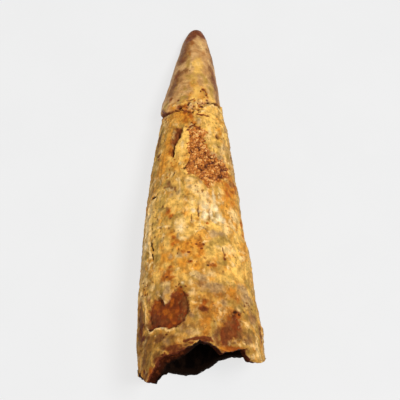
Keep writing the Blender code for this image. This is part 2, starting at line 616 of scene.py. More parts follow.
# The mended tip: a dark cap, then smooth tan with umber clouds down both flanks, partly stain and partly
# painted shade where the flanks turn from the light.
TIP_MARKS: tuple[Mark, ...] = (
    *blots(
        Tone.OCHRE, 0.85, 0, (11.7, 68, 45, 40), (9.8, 92, 93, 33), (10.4, 83, 92, 33), (11.5, 76, 75, 34),
        (11.8, 94, 75, 28), (10.8, 68, 76, 47), (12.9, 129, 49, 59), (12.7, 106, 51, 58),
    ),
    *blots(
        Tone.GOLD, 1, 0, (6.6, 79, 99, 57), (7.8, 82, 40, 51), (10.9, 80, 91, 44), (12.1, 86, 72, 44),
        (11.4, 50, 61, 59),
    ),
    *blots(Tone.GOLD, 0.65, 0, (5.6, 80, 51, 46), (12.1, 68, 40, 58), (9.6, 62, 63, 38), (8.7, 90, 63, 45)),
    *blots(
        Tone.CREAM, 0.6, 0, (6.6, 77, 49, 35), (2.9, 71, 64, 43), (6.9, 127, 26, 43), (8.5, 58, 26, 17),
        (8.9, 72, 19, 18), (5.8, 43, 26, 29), (11.3, 111, 20, 62), (11.6, 119, 23, 34), (3.7, 59, 72, 42),
        (9.3, 104, 21, 58), (9.9, 107, 19, 47), (7.1, 100, 99, 17), (12.1, 145, 83, 49),
    ),
    *blots(
        Tone.OLIVE, 0.95, 0, (10.3, 107, 20, 18), (10.7, 103, 15, 70), (11.8, 104, 17, 70),
        (9.7, 128, 81, 25), (10.2, 45, 96, 41),
    ),
    *blots(
        Tone.OLIVE, 0.7, 0, (9.8, 89, 46, 44), (11, 63, 61, 37), (12.3, 113, 45, 50), (6.2, 108, 136, 32),
        (8.3, 74, 32, 70), (8.7, 98, 48, 57), (9.2, 62, 47, 64), (4.9, 113, 53, 26), (12.6, 150, 87, 43),
        (4.2, 17, 70, 45),
    ),
    *blots(
        Tone.RUST, 0.7, 0.04, (3.7, 123, 95, 37), (2.9, 110, 57, 38), (10.6, 67, 31, 24), (11.1, 60, 34, 22),
        (11.6, 58, 24, 21), (12, 70, 17, 16), (11.9, 136, 56, 28), (12.8, 138, 32, 18),
    ),
    *blots(Tone.RUST, 0.45, 0, (4.7, 107, 71, 36), (5.2, 76, 27, 47), (4.5, 53, 53, 46)),
    *blots(
        Tone.UMBER, 0.9, 0, (3.6, 134, 160, 80), (5.3, 134, 128, 69), (2.4, 131, 106, 66),
        (9.4, 133, 107, 62), (10.3, 142, 101, 52), (7.6, 110, 27, 42, 60), (7.8, 126, 68, 61),
        (5, 14, 126, 72), (7, 38, 78, 53), (8.3, 32, 104, 64), (9.8, 27, 154, 72),
    ),
    *blots(
        Tone.UMBER, 0.72, 0, (3.5, 19, 140, 72), (1.5, 20, 84, 72), (6.3, 131, 54, 40), (1.4, 145, 110, 92),
        (11.3, 27, 97, 51),
    ),
    *blots(Tone.UMBER, 0.5, 0, (11.6, 144, 100, 52)),
    *blots(Tone.WINE, 0.9, 0, (0.8, 98, 97, 84), (1.9, 121, 94, 75), (1.2, 41, 79, 106)),
    *blots(
        Tone.WINE, 0.52, 0, (2.9, 131, 81, 63), (5.7, 129, 109, 48), (7.7, 125, 58, 60, 40),
        (8.3, 134, 51, 52), (7.4, 35, 69, 54), (8.5, 29, 87, 62), (4.4, 128, 75, 42), (10, 135, 66, 43),
    ),
    *blots(
        Tone.WINE, 1, -0.18, (10.8, 73, 15, 11), (10.5, 65, 18, 11), (10.5, 69, 14, 11), (10.8, 62, 14, 11),
        (11.3, 60, 14, 13), (11.6, 65, 11, 8), (12, 57, 10, 9), (12.1, 119, 14, 15), (11.7, 136, 13, 19),
    ),
)

# Round the mend: smooth ochre on the left, a sandy knot in the middle, gold on the right.
MEND_MARKS: tuple[Mark, ...] = (
    *blots(
        Tone.OCHRE, 1, 0, (14.6, 114, 88, 110), (14.9, 100, 86, 55), (13.2, 109, 52, 60), (13.4, 81, 44, 44),
        (14.8, 126, 60, 71),
    ),
    *blots(
        Tone.GOLD, 0.95, 0.16, (12.8, 104, 22, 31), (13.1, 83, 23, 22), (13.7, 73, 17, 34),
        (13.3, 62, 20, 32), (12.8, 122, 13, 30), (12.4, 101, 16, 22), (12.3, 75, 23, 18),
    ),
    *blots(Tone.RUST, 0.55, 0, (13.7, 101, 50, 78), (13.6, 83, 49, 44), (15, 103, 57, 45)),
    *blots(Tone.GOLD, 0.95, 0, (14.6, 59, 155, 88), (13.2, 46, 59, 61), (13.7, 79, 58, 55)),
    *blots(Tone.GOLD, 0.55, 0, (15, 124, 59, 83)),
    *blots(
        Tone.CREAM, 0.95, 0.2, (13, 92, 27, 16), (12.8, 83, 27, 16), (12.4, 72, 19, 14), (13.8, 88, 13, 13),
        (13.3, 81, 17, 13), (13.3, 70, 15, 17), (14.4, 94, 13, 17), (13, 60, 15, 28), (12.7, 48, 16, 60),
        (13.9, 74, 12, 34),
    ),
    *blots(
        Tone.CREAM, 0.75, 0, (15.7, 154, 84, 77), (16.5, 64, 79, 24), (13.9, 148, 49, 52),
        (13.5, 142, 26, 64), (15, 149, 67, 52),
    ),
    *blots(Tone.GREY, 0.8, 0.13, (15.4, 82, 37, 24)),
    *blots(
        Tone.RUST, 0.8, 0, (13.1, 103, 27, 36), (12.4, 85, 24, 17), (13.1, 75, 20, 25), (12.5, 64, 24, 17),
        (14.7, 95, 66, 33), (15.4, 91, 37, 37), (14.1, 106, 29, 46), (14.2, 150, 24, 44), (16.1, 86, 20, 32),
    ),
    Line(Tone.WINE, (
        (13.6, 145), (13.5, 137), (13.5, 127), (13.6, 118), (13.8, 104), (14, 95),
    ), 0.15, -0.2, 0.9),
    *blots(Tone.RUST, 0.5, 0, (13.5, 137, 31, 90)),
    *blots(Tone.CREAM, 0.8, 0, (12.4, 153, 59, 77), (12.3, 138, 32, 38), (12.8, 126, 14, 30)),
    # Painted shadow under a ledge below the seam.
    Line(Tone.WINE, ((14.2, 85), (14.3, 74), (14.3, 64)), 0.11, -0.26),
    Line(Tone.UMBER, ((12.4, 101), (12.3, 93), (12, 86)), 0.09, -0.14, 0.9),
    Line(Tone.UMBER, ((12.7, 80), (12.8, 74), (12.5, 62)), 0.09, -0.14, 0.9),
    # Painted highlight along the lit edge of that ledge.
    Line(Tone.GOLD, ((14, 86), (14.1, 74), (14, 61)), 0.12, 0.1, 0.9),
    *blots(
        Tone.DARK, 0.85, -0.3, (13.2, 114, 20, 29), (13.9, 92, 13, 15), (13.5, 89, 15, 10),
        (13.5, 78, 13, 14), (13, 71, 16, 16), (15.6, 90, 13, 17), (12.9, 97, 15, 12), (14, 81, 9, 15),
    ),
    *blots(
        Tone.WINE, 1, -0.2, (13.1, 114, 28, 39), (12.7, 95, 17, 12), (13.9, 103, 12, 23),
        (13.4, 123, 15, 24), (13.2, 86, 13, 10), (12.5, 68, 17, 11), (13.3, 99, 12, 10), (12.7, 65, 14, 13),
        (15.6, 89, 17, 24), (15.4, 94, 13, 11), (13.7, 83, 12, 11), (13.6, 102, 10, 11), (12, 60, 11, 11),
    ),
    Line(Tone.WINE, ((16.1, 97), (15.9, 93), (15.9, 88), (16.2, 83), (16, 79)), 0.09, -0.15),
    *blots(Tone.WINE, 0.95, 0, (13.2, 163, 53, 90), (13.1, 187, 57, 64), (12.9, 170, 28, 8)),
    *blots(Tone.DARK, 1, -0.36, (12.3, 51, 23, 40), (12.1, 35, 26, 58)),
    Line(Tone.UMBER, ((12.4, 62), (12.3, 51), (12.1, 38), (11.9, 27)), 0.08, -0.16, 0.9),
    *blots(Tone.UMBER, 0.9, -0.1, (16, 102, 11, 9), (16.2, 98, 10, 8), (14.7, 146, 16, 19)),
)

# The flaked crown: rock left in it, a deep groove, and a gold dagger of dentine between them.
CROWN_MARKS: tuple[Mark, ...] = (
    Patch(Tone.ROCK, (
        (16.2, 95), (16.3, 86), (16.3, 75), (16.8, 72), (17.7, 71), (18.5, 69), (19.2, 63), (19.9, 58),
        (20.2, 47), (20.7, 36), (21.3, 30), (22.1, 36), (22.6, 52), (23.2, 61), (23.8, 71), (23.3, 77),
        (22.7, 84), (22.2, 93), (22, 99), (21.6, 101), (21, 95), (20.2, 96), (19.5, 94), (18.6, 95),
        (17.5, 94),
    ), -0.22, 0.8, 1, 0.5, 0.8),
    Patch(Tone.GOLD, (
        (16.1, 104), (16.4, 96), (17.4, 95), (18.3, 96), (19.3, 97), (19.7, 103), (19.7, 111), (19.4, 117),
        (18.7, 117), (18.2, 113), (17.6, 111), (16.9, 108), (16.5, 106),
    ), 0.17, 0.34, 1, 0.14, 0.3),
    *blots(
        Tone.OCHRE, 0.9, 0, (17.9, 132, 99, 52), (19.2, 129, 111, 58), (20.8, 138, 109, 85),
        (21.5, 145, 68, 60), (19.8, 138, 69, 68), (23.4, 43, 66, 95), (23.2, 71, 40, 48), (22.2, 73, 33, 36),
        (17, 81, 53, 28),
    ),
    *blots(
        Tone.OCHRE, 0.75, 0, (17.4, 78, 52, 34), (18.9, 73, 40, 36), (17.9, 90, 81, 32), (23.3, 58, 41, 64),
        (20.6, 102, 53, 43), (19.9, 100, 40, 32), (21.1, 115, 92, 35), (21.6, 108, 52, 33),
        (21, 121, 40, 25), (19.7, 87, 26, 22), (22.3, 63, 27, 25),
    ),
    *blots(
        Tone.CREAM, 0.6, 0, (17.3, 66, 78, 37), (16.1, 150, 82, 63), (21.7, 82, 32, 46), (19.7, 60, 32, 40),
    ),
    *blots(
        Tone.OCHRE, 0.8, 0, (16.1, 44, 71, 55), (20.1, 110, 40, 34), (24.6, 73, 52, 56), (30.1, 75, 35, 42),
    ),
    *blots(Tone.RUST, 0.65, 0, (16.9, 86, 53, 44), (23, 70, 53, 61), (22.8, 53, 53, 64), (30.4, 85, 35, 40)),
    *blots(
        Tone.GOLD, 0.95, 0, (16.8, 64, 92, 61), (17.8, 60, 65, 43), (16.1, 66, 55, 48), (20.2, 107, 40, 44),
        (22.1, 98, 14, 42),
    ),
    Line(Tone.GOLD, ((21.8, 106), (22.2, 98), (22.5, 90), (22.5, 82)), 0.12, 0.1, 0.9),
    Line(Tone.GOLD, ((20.5, 44), (20.9, 37), (21.3, 30), (22, 28)), 0.11, 0.1, 0.9),
    *blots(
        Tone.CREAM, 1, 0.18, (21.2, 55, 11, 15), (21.9, 47, 11, 14), (20.2, 72, 11, 12), (19.1, 94, 11, 10),
        (22.7, 62, 11, 13), (22.2, 69, 11, 12), (17.3, 84, 13, 11), (18.4, 89, 11, 11), (16.8, 82, 9, 10),
        (22, 64, 12, 18), (22.2, 60, 12, 13), (21.6, 67, 11, 12), (20.2, 89, 13, 16), (19.6, 78, 10, 12),
        (19.2, 70, 11, 12), (20.4, 51, 9, 13), (21, 86, 11, 13), (21.1, 77, 9, 12), (23.5, 68, 19, 13),
        (21.6, 42, 11, 11), (16.7, 91, 10, 10), (18.1, 79, 9, 11),
    ),
    *blots(
        Tone.CREAM, 0.75, 0, (18.4, 57, 27, 26), (18.7, 41, 95, 34), (18.7, 146, 23, 38),
        (15.3, 145, 63, 66), (22.5, 119, 23, 18), (22, 119, 12, 15), (23.2, 94, 51, 62), (23.9, 87, 58, 73),
        (24.1, 96, 50, 36), (19.8, 37, 55, 33), (18.7, 105, 68, 18),
    ),
    Line(Tone.CREAM, ((22.9, 108), (23.9, 107), (24.8, 106)), 0.11, 0.07, 0.8),
    *blots(
        Tone.OLIVE, 1, -0.1, (18.1, 71, 16, 12), (18.5, 68, 16, 15), (18.7, 64, 16, 14), (19, 58, 33, 12),
        (17.5, 72, 16, 14), (17.8, 48, 40, 26),
    ),
    *blots(Tone.UMBER, 0.65, 0, (16.5, 122, 65, 31), (17.6, 123, 56, 21)),
    *blots(
        Tone.UMBER, 0.7, 0, (16.5, 157, 68, 64), (17.6, 159, 65, 70), (18.3, 163, 52, 77),
        (22.7, 31, 42, 56), (23.6, 154, 54, 45),
    ),
    *blots(
        Tone.OLIVE, 0.9, 0, (16.3, 154, 85, 64), (17.7, 151, 46, 60), (15.9, 148, 64, 35),
        (19.3, 51, 39, 20), (19.1, 28, 29, 40), (18.3, 47, 27, 18), (17.8, 165, 54, 38),
    ),
    # Painted shadow beside the cream ridge.
    Line(Tone.OLIVE, ((23, 104), (23.9, 104), (24.9, 104)), 0.12, -0.1),
    Line(Tone.OLIVE, ((22.7, 95), (22.8, 88), (22.7, 81)), 0.09, -0.12, 0.9),
    *blots(Tone.GREY, 0.55, 0, (18, 33, 113, 70), (18.8, 47, 53, 39)),
    *blots(
        Tone.GREY, 0.85, 0, (19.5, 56, 47, 46), (19.8, 46, 41, 45), (20.3, 43, 27, 41), (24, 94, 38, 21),
        (23.4, 81, 27, 22),
    ),
    *blots(Tone.RUST, 0.6, 0, (24.1, 41, 92, 96), (22.7, 31, 70, 93)),
    *blots(
        Tone.RUST, 0.7, 0, (22.3, 31, 56, 69), (23.2, 41, 39, 61), (17.8, 125, 42, 25), (18.9, 125, 83, 27),
        (19.5, 151, 21, 53), (22.8, 22, 87, 58), (23.7, 31, 41, 42), (23.6, 72, 30, 35), (23.3, 64, 22, 22),
        (18.9, 92, 53, 21), (21.5, 94, 26, 31), (18.9, 84, 39, 23), (21.9, 80, 27, 35),
    ),
    *blots(
        Tone.RUST, 0.85, -0.08, (20.7, 123, 12, 12), (21.2, 120, 11, 12), (21.6, 124, 11, 11),
        (20.4, 117, 9, 10), (22.6, 126, 9, 11),
    ),
    *blots(
        Tone.UMBER, 0.9, -0.03, (23.4, 123, 51, 38), (23.8, 128, 18, 24), (24.2, 113, 38, 16),
        (24, 118, 18, 22), (18.8, 13, 74, 29),
    ),
    *blots(
        Tone.UMBER, 0.75, -0.05, (23.9, 88, 11, 6), (24, 84, 10, 6), (24.2, 92, 10, 6), (23.7, 99, 10, 6),
    ),
    *blots(Tone.UMBER, 1, -0.22, (16.9, 49, 35, 20)),
    Patch(Tone.WINE, (
        (16, 122), (16.2, 107), (16.6, 108), (17, 111), (17.6, 112), (17.9, 115), (18.5, 115), (18.8, 118),
        (19.6, 118), (20, 120), (19.8, 123), (19, 125), (18.5, 123), (17.9, 126), (17.5, 123), (16.9, 123),
        (16.5, 120),
    ), -0.34, 0.22, 1, 0.1, 0.22),
    *blots(Tone.WINE, 0.3, 0, (21.2, 60, 53, 92, -50), (21.4, 45, 59, 80)),
    *blots(Tone.RUST, 0.45, 0, (20.6, 72, 92, 109, -50), (21.6, 86, 46, 78), (16.8, 91, 54, 43)),
    *blots(
        Tone.WINE, 1, -0.2, (18.1, 90, 20, 14), (18.8, 87, 24, 13), (19.2, 82, 29, 17), (17, 92, 19, 10),
        (19.7, 73, 15, 18), (20.7, 66, 20, 45), (20.4, 59, 21, 29), (21.3, 71, 16, 32), (20.9, 54, 23, 35),
        (22.3, 52, 18, 53), (21.9, 39, 19, 39), (21.9, 61, 24, 13), (21.2, 87, 11, 20), (21.8, 83, 9, 25),
        (21.7, 91, 9, 15), (20.4, 78, 12, 14), (20.3, 86, 11, 11), (19.5, 96, 13, 8), (17.6, 80, 13, 10),
    ),
    *blots(
        Tone.WINE, 0.9, -0.12, (23.1, 74, 11, 12), (23.4, 71, 11, 12), (22.9, 61, 11, 12), (22.8, 75, 11, 9),
        (19, 155, 22, 62), (23, 59, 9, 10),
    ),
    Line(Tone.WINE, ((21.4, 101), (21, 97), (20.6, 94)), 0.1, -0.22),
    *blots(Tone.DARK, 1, -0.42, (21.5, 102, 17, 16)),
    *blots(
        Tone.DARK, 0.85, -0.22, (19.6, 89, 10, 11), (20.1, 79, 9, 12), (21.3, 70, 11, 17),
        (21.8, 58, 13, 13), (22.1, 51, 11, 19), (21.3, 37, 12, 20), (17.2, 94, 14, 9), (18.6, 82, 12, 10),
        (22.7, 65, 11, 11),
    ),
    *blots(
        Tone.DARK, 0.95, -0.1, (17, 115, 45, 14), (18.3, 120, 28, 10), (19.4, 121, 33, 11),
        (21.3, 45, 25, 37), (20.5, 61, 15, 21), (20.8, 67, 12, 20), (16.9, 48, 12, 10), (21.1, 49, 13, 21),
    ),
    Line(Tone.DARK, ((22.1, 116), (22.4, 116)), 0.07, -0.16),
)

# Painted shade: grey along the right flank, where it turns away from the light.
FLANK_SHADE_MARKS: tuple[Mark, ...] = (
    Line(Tone.GREY, ((14.6, 5), (17.5, -1), (20, 6), (23, 1)), 1.5, 0, 0.75),
    Line(Tone.GREY, ((24, 6), (28, -2), (32, 5), (36, 0), (42.5, 5)), 1.15, 0, 0.66),
)

# The middle of the tooth: pale streaks, rusty pits, grey and olive clouds.
MIDDLE_MARKS: tuple[Mark, ...] = (
    *blots(
        Tone.OCHRE, 0.9, 0, (30.8, 95, 69, 90), (32.1, 96, 57, 90), (30.3, 117, 70, 70), (33.4, 88, 56, 79),
        (32.1, 121, 68, 81), (27.4, 120, 60, 59), (33.2, 104, 56, 62), (34.1, 132, 67, 94),
        (33.3, 127, 44, 62),
    ),
    *blots(
        Tone.OCHRE, 1, 0, (34.5, 120, 43, 69), (24.8, 37, 119, 99), (25.9, 46, 51, 51), (23.7, 29, 83, 76),
        (30.6, 113, 69, 55), (31.1, 99, 57, 61), (31.6, 87, 69, 60), (32.4, 90, 34, 60), (32.9, 104, 45, 62),
    ),
    *blots(
        Tone.OCHRE, 0.65, 0, (25, 50, 64, 58), (28, 86, 36, 30), (27.1, 127, 61, 51), (27.8, 132, 49, 43),
        (27.1, 99, 72, 52), (31.1, 130, 58, 55), (29.4, 116, 47, 35), (30.1, 84, 35, 30), (32.8, 71, 45, 43),
    ),
    *blots(
        Tone.GOLD, 0.9, 0, (26.1, 116, 86, 93), (29.5, 99, 59, 82), (26.4, 94, 61, 41), (30.6, 122, 70, 48),
        (28.6, 71, 48, 86), (28.8, 64, 48, 80), (34.6, 100, 43, 50),
    ),
    *blots(
        Tone.GOLD, 0.95, 0, (26, 105, 49, 43), (29.5, 95, 47, 60), (28.2, 26, 93, 52), (34.2, 133, 55, 67),
        (34.3, 57, 68, 38),
    ),
    *blots(
        Tone.GOLD, 0.65, 0, (28.8, 88, 59, 40), (29.4, 34, 50, 40), (24.3, 75, 39, 67), (24.2, 51, 40, 41),
    ),
    *blots(
        Tone.CREAM, 0.9, 0, (29.1, 106, 59, 53), (26.6, 156, 118, 89), (28.2, 158, 102, 83),
        (24.2, 87, 50, 73), (25.1, 78, 62, 42), (26.7, 35, 78, 80), (28.6, 52, 61, 66), (28.2, 105, 48, 42),
    ),
    *blots(
        Tone.CREAM, 0.95, 0, (28.3, 109, 31, 24), (26.1, 79, 74, 63), (26.1, 67, 87, 45),
        (25.7, 155, 60, 44), (29.8, 153, 85, 45), (31.6, 145, 35, 28), (27.6, 170, 125, 51),
        (34.2, 94, 33, 30), (31.2, 56, 47, 64),
    ),
    *blots(
        Tone.CREAM, 0.7, 0, (25.9, 92, 74, 31), (25, 82, 44, 53), (28.8, 98, 14, 20), (28.3, 60, 29, 36),
        (25.1, 151, 34, 58), (28.8, 149, 49, 27), (28.3, 39, 38, 25), (31, 65, 35, 40), (34.1, 77, 39, 51),
        (35.1, 96, 53, 22), (35.3, 104, 25, 25), (31.2, 47, 48, 43), (30.9, 35, 37, 40), (34.3, 116, 11, 16),
    ),
    *blots(
        Tone.CREAM, 1, 0.07, (33.7, 109, 14, 24, -40), (33.2, 57, 25, 19), (31.6, 35, 16, 28),
        (29.8, 107, 23, 8), (32.8, 50, 28, 23), (33.7, 94, 8, 9),
    ),
    *blots(
        Tone.OLIVE, 0.95, 0, (30.7, 71, 26, 54), (30.1, 61, 21, 59), (30.1, 53, 21, 39), (25.6, 131, 63, 37),
        (28.9, 139, 29, 42), (29.9, 58, 21, 61), (34.4, 33, 60, 63), (31.3, 154, 49, 40),
    ),
    *blots(
        Tone.OLIVE, 0.75, 0, (26.3, 130, 99, 57), (30.4, 67, 47, 100), (30.3, 136, 82, 63),
        (32.7, 63, 46, 70), (32, 135, 69, 59), (31.3, 77, 35, 52), (27.6, 121, 36, 47),
    ),
    *blots(
        Tone.OLIVE, 0.65, 0, (26.7, 136, 62, 48), (27.9, 139, 49, 42), (25.7, 139, 38, 33),
        (25.6, 94, 49, 16), (24.9, 127, 25, 39), (29.4, 173, 88, 45), (33.7, 36, 36, 47), (32.4, 26, 50, 56),
        (23.3, 141, 78, 45), (23.8, 155, 42, 44),
    ),
    *blots(Tone.GREY, 1, 0, (35.5, 70, 44, 64), (29.5, 69, 43, 56), (35.3, 43, 46, 65)),
    *blots(
        Tone.GREY, 0.9, 0, (29.3, 59, 36, 43), (34.6, 86, 35, 45), (29.9, 108, 35, 12), (32.8, 164, 122, 77),
        (30.7, 173, 112, 51),
    ),
    *blots(
        Tone.GREY, 0.6, 0, (24.6, 109, 63, 37), (25.6, 99, 49, 35), (24.7, 117, 50, 29), (32.1, 100, 34, 34),
        (32.2, 107, 41, 35), (32.1, 117, 34, 30), (31.6, 164, 62, 51), (34.2, 90, 22, 30),
    ),
    *blots(
        Tone.RUST, 0.6, 0, (33.9, 116, 33, 34), (34.3, 122, 66, 94), (31.8, 87, 46, 50), (33.1, 75, 34, 42),
        (33, 96, 23, 40), (30.5, 108, 35, 42), (30.8, 88, 35, 60), (30.8, 98, 23, 30), (30, 85, 23, 20),
        (33.1, 108, 16, 21), (32.3, 87, 16, 30), (31.7, 102, 23, 30), (25.2, 35, 53, 40), (28.6, 18, 51, 32),
        (32.5, 81, 14, 16),
    ),
    *blots(Tone.GOLD, 0.8, 0, (31.4, 134, 46, 57), (33.1, 123, 34, 49), (34.5, 111, 32, 43)),
    *blots(
        Tone.CREAM, 1, 0, (30.1, 160, 123, 83), (34.4, 91, 33, 30), (36, 161, 58, 64), (36.3, 143, 32, 45),
    ),
    *blots(
        Tone.OLIVE, 0.55, 0, (34.3, 56, 57, 64), (35.1, 63, 34, 58), (32.9, 41, 48, 49), (31.7, 72, 34, 32),
    ),
    *blots(
        Tone.RUST, 0.85, 0, (26.8, 121, 55, 26, 25), (27.5, 117, 31, 35), (22.9, 22, 73, 58),
        (27.2, 18, 60, 32), (34.5, 114, 19, 37), (33.9, 119, 26, 28), (34.7, 117, 16, 23),
        (33.2, 72, 27, 27), (33.4, 117, 18, 32), (30.1, 113, 21, 26), (30.8, 114, 23, 26),
        (31.1, 85, 28, 44),
    ),
    *blots(Tone.RUST, 1, -0.06, (28.4, 75, 16, 18), (32.9, 96, 14, 30)),
    *blots(
        Tone.UMBER, 0.95, -0.1, (27.2, 141, 10, 26), (28.6, 131, 10, 16), (28.9, 120, 9, 13),
        (29.5, 140, 11, 18), (26.1, 130, 16, 11), (26.5, 123, 22, 16), (27.7, 118, 14, 15),
        (26.4, 48, 11, 13), (28, 55, 10, 12), (28, 31, 20, 21), (30.9, 112, 8, 9), (31.2, 105, 7, 6),
        (33.1, 110, 7, 9), (30.3, 34, 12, 14), (29.9, 35, 8, 12), (33, 73, 9, 8), (29.9, 101, 7, 6),
        (29.9, 126, 9, 8), (27, 40, 10, 14), (28.3, 48, 9, 10),
    ),
    *blots(Tone.UMBER, 0.6, 0, (35.3, 87, 37, 53), (26.4, 146, 19, 20), (32, 60, 35, 24)),
    *blots(
        Tone.WINE, 1, -0.14, (30.9, 89, 12, 14), (30.9, 81, 14, 14), (31.4, 84, 11, 15), (31.8, 97, 11, 16),
        (32.8, 96, 7, 14), (30.7, 85, 7, 7), (31.4, 115, 7, 10), (31.8, 58, 17, 8), (32.2, 59, 16, 14),
        (34.4, 121, 11, 12),
    ),
    *blots(
        Tone.WHITE, 0.72, 0.02, (27, 91, 30, 22), (27.4, 60, 51, 48), (27.5, 78, 60, 37), (27.2, 70, 85, 18),
        (25.1, 65, 89, 16), (26.5, 63, 49, 36), (35.3, 104, 17, 18), (24.8, 73, 63, 18),
    ),
    *blots(
        Tone.WHITE, 0.45, 0, (27.2, 158, 234, 77), (27.8, 53, 49, 53), (28.9, 105, 47, 27),
        (30.1, 157, 98, 54),
    ),
    *blots(Tone.WHITE, 0.3, 0, (26.3, 71, 125, 77)),
    *blots(Tone.OCHRE, 0.6, 0, (25.3, 62, 101, 17), (26, 54, 76, 26)),
    *blots(
        Tone.WHITE, 0.6, 0, (26.4, 78, 42, 42), (25.9, 72, 62, 11), (27, 84, 17, 16), (28.1, 66, 19, 22),
        (37.2, 88, 11, 18),
    ),
    *blots(Tone.DARK, 1, -0.2, (33.2, 78, 9, 12), (27.8, 146, 22, 12, -25)),
    Line(Tone.DARK, ((24.6, 153), (24.6, 146), (24.3, 141)), 0.14, -0.3),
    Line(Tone.DARK, ((29.9, 146), (30.4, 144), (31, 142)), 0.11, -0.22),
    Line(Tone.DARK, ((31.4, 143), (32.1, 141)), 0.09, -0.16, 0.9),
    Line(Tone.UMBER, ((26.8, 86), (27.2, 85), (27.6, 85)), 0.11, -0.14),
    Line(Tone.UMBER, ((26.7, 72), (28.1, 73)), 0.06, -0.08, 0.9),
    Line(Tone.UMBER, ((25.7, 85), (26.7, 85)), 0.06, -0.08, 0.9),
    Line(Tone.UMBER, ((31, 60), (31.5, 60), (32, 59), (32.4, 59)), 0.06, -0.08, 0.9),
    Line(Tone.UMBER, ((27.4, 93), (28.2, 93)), 0.06, -0.08, 0.9),
    Line(Tone.CREAM, ((29.5, 151), (30.6, 148), (31.7, 145)), 0.11, 0.1, 0.9),
    Line(Tone.CREAM, ((25.3, 158), (26.2, 157)), 0.11, 0.1, 0.9),
    Line(Tone.CREAM, ((28.5, 136), (28.6, 127), (28.7, 118)), 0.11, 0.1, 0.9),
)

# Outlines of the two flake scars of the root.
FLAKE_SCAR = (
    (37.1, 143), (36.8, 139), (36.7, 135), (36.5, 132), (36.6, 130), (36.4, 128), (36.6, 126), (37, 125),
    (37.4, 124), (37.2, 122), (36.7, 120), (36.4, 118), (36.2, 116), (35.9, 113), (35.9, 109), (36.1, 105),
    (36.5, 102), (37.1, 100), (37.8, 99), (38.6, 101), (39.1, 104), (39.4, 107), (39.7, 110), (39.9, 113),
    (39.9, 117), (40, 121), (39.7, 127), (39.7, 132), (39.8, 137), (39.9, 140), (39.4, 144), (38.7, 146),
    (38.1, 146), (37.6, 145),
)
SHALLOW_SCAR = (
    (39.2, 71), (38.6, 66), (38.1, 60), (37.9, 56), (38, 51), (38.5, 50), (39.2, 49), (39.9, 49), (40.6, 52),
    (41.1, 56), (41.4, 62), (41.8, 66), (42.1, 71), (42, 75), (41.6, 78), (41, 79), (40.2, 77), (39.7, 75),
)

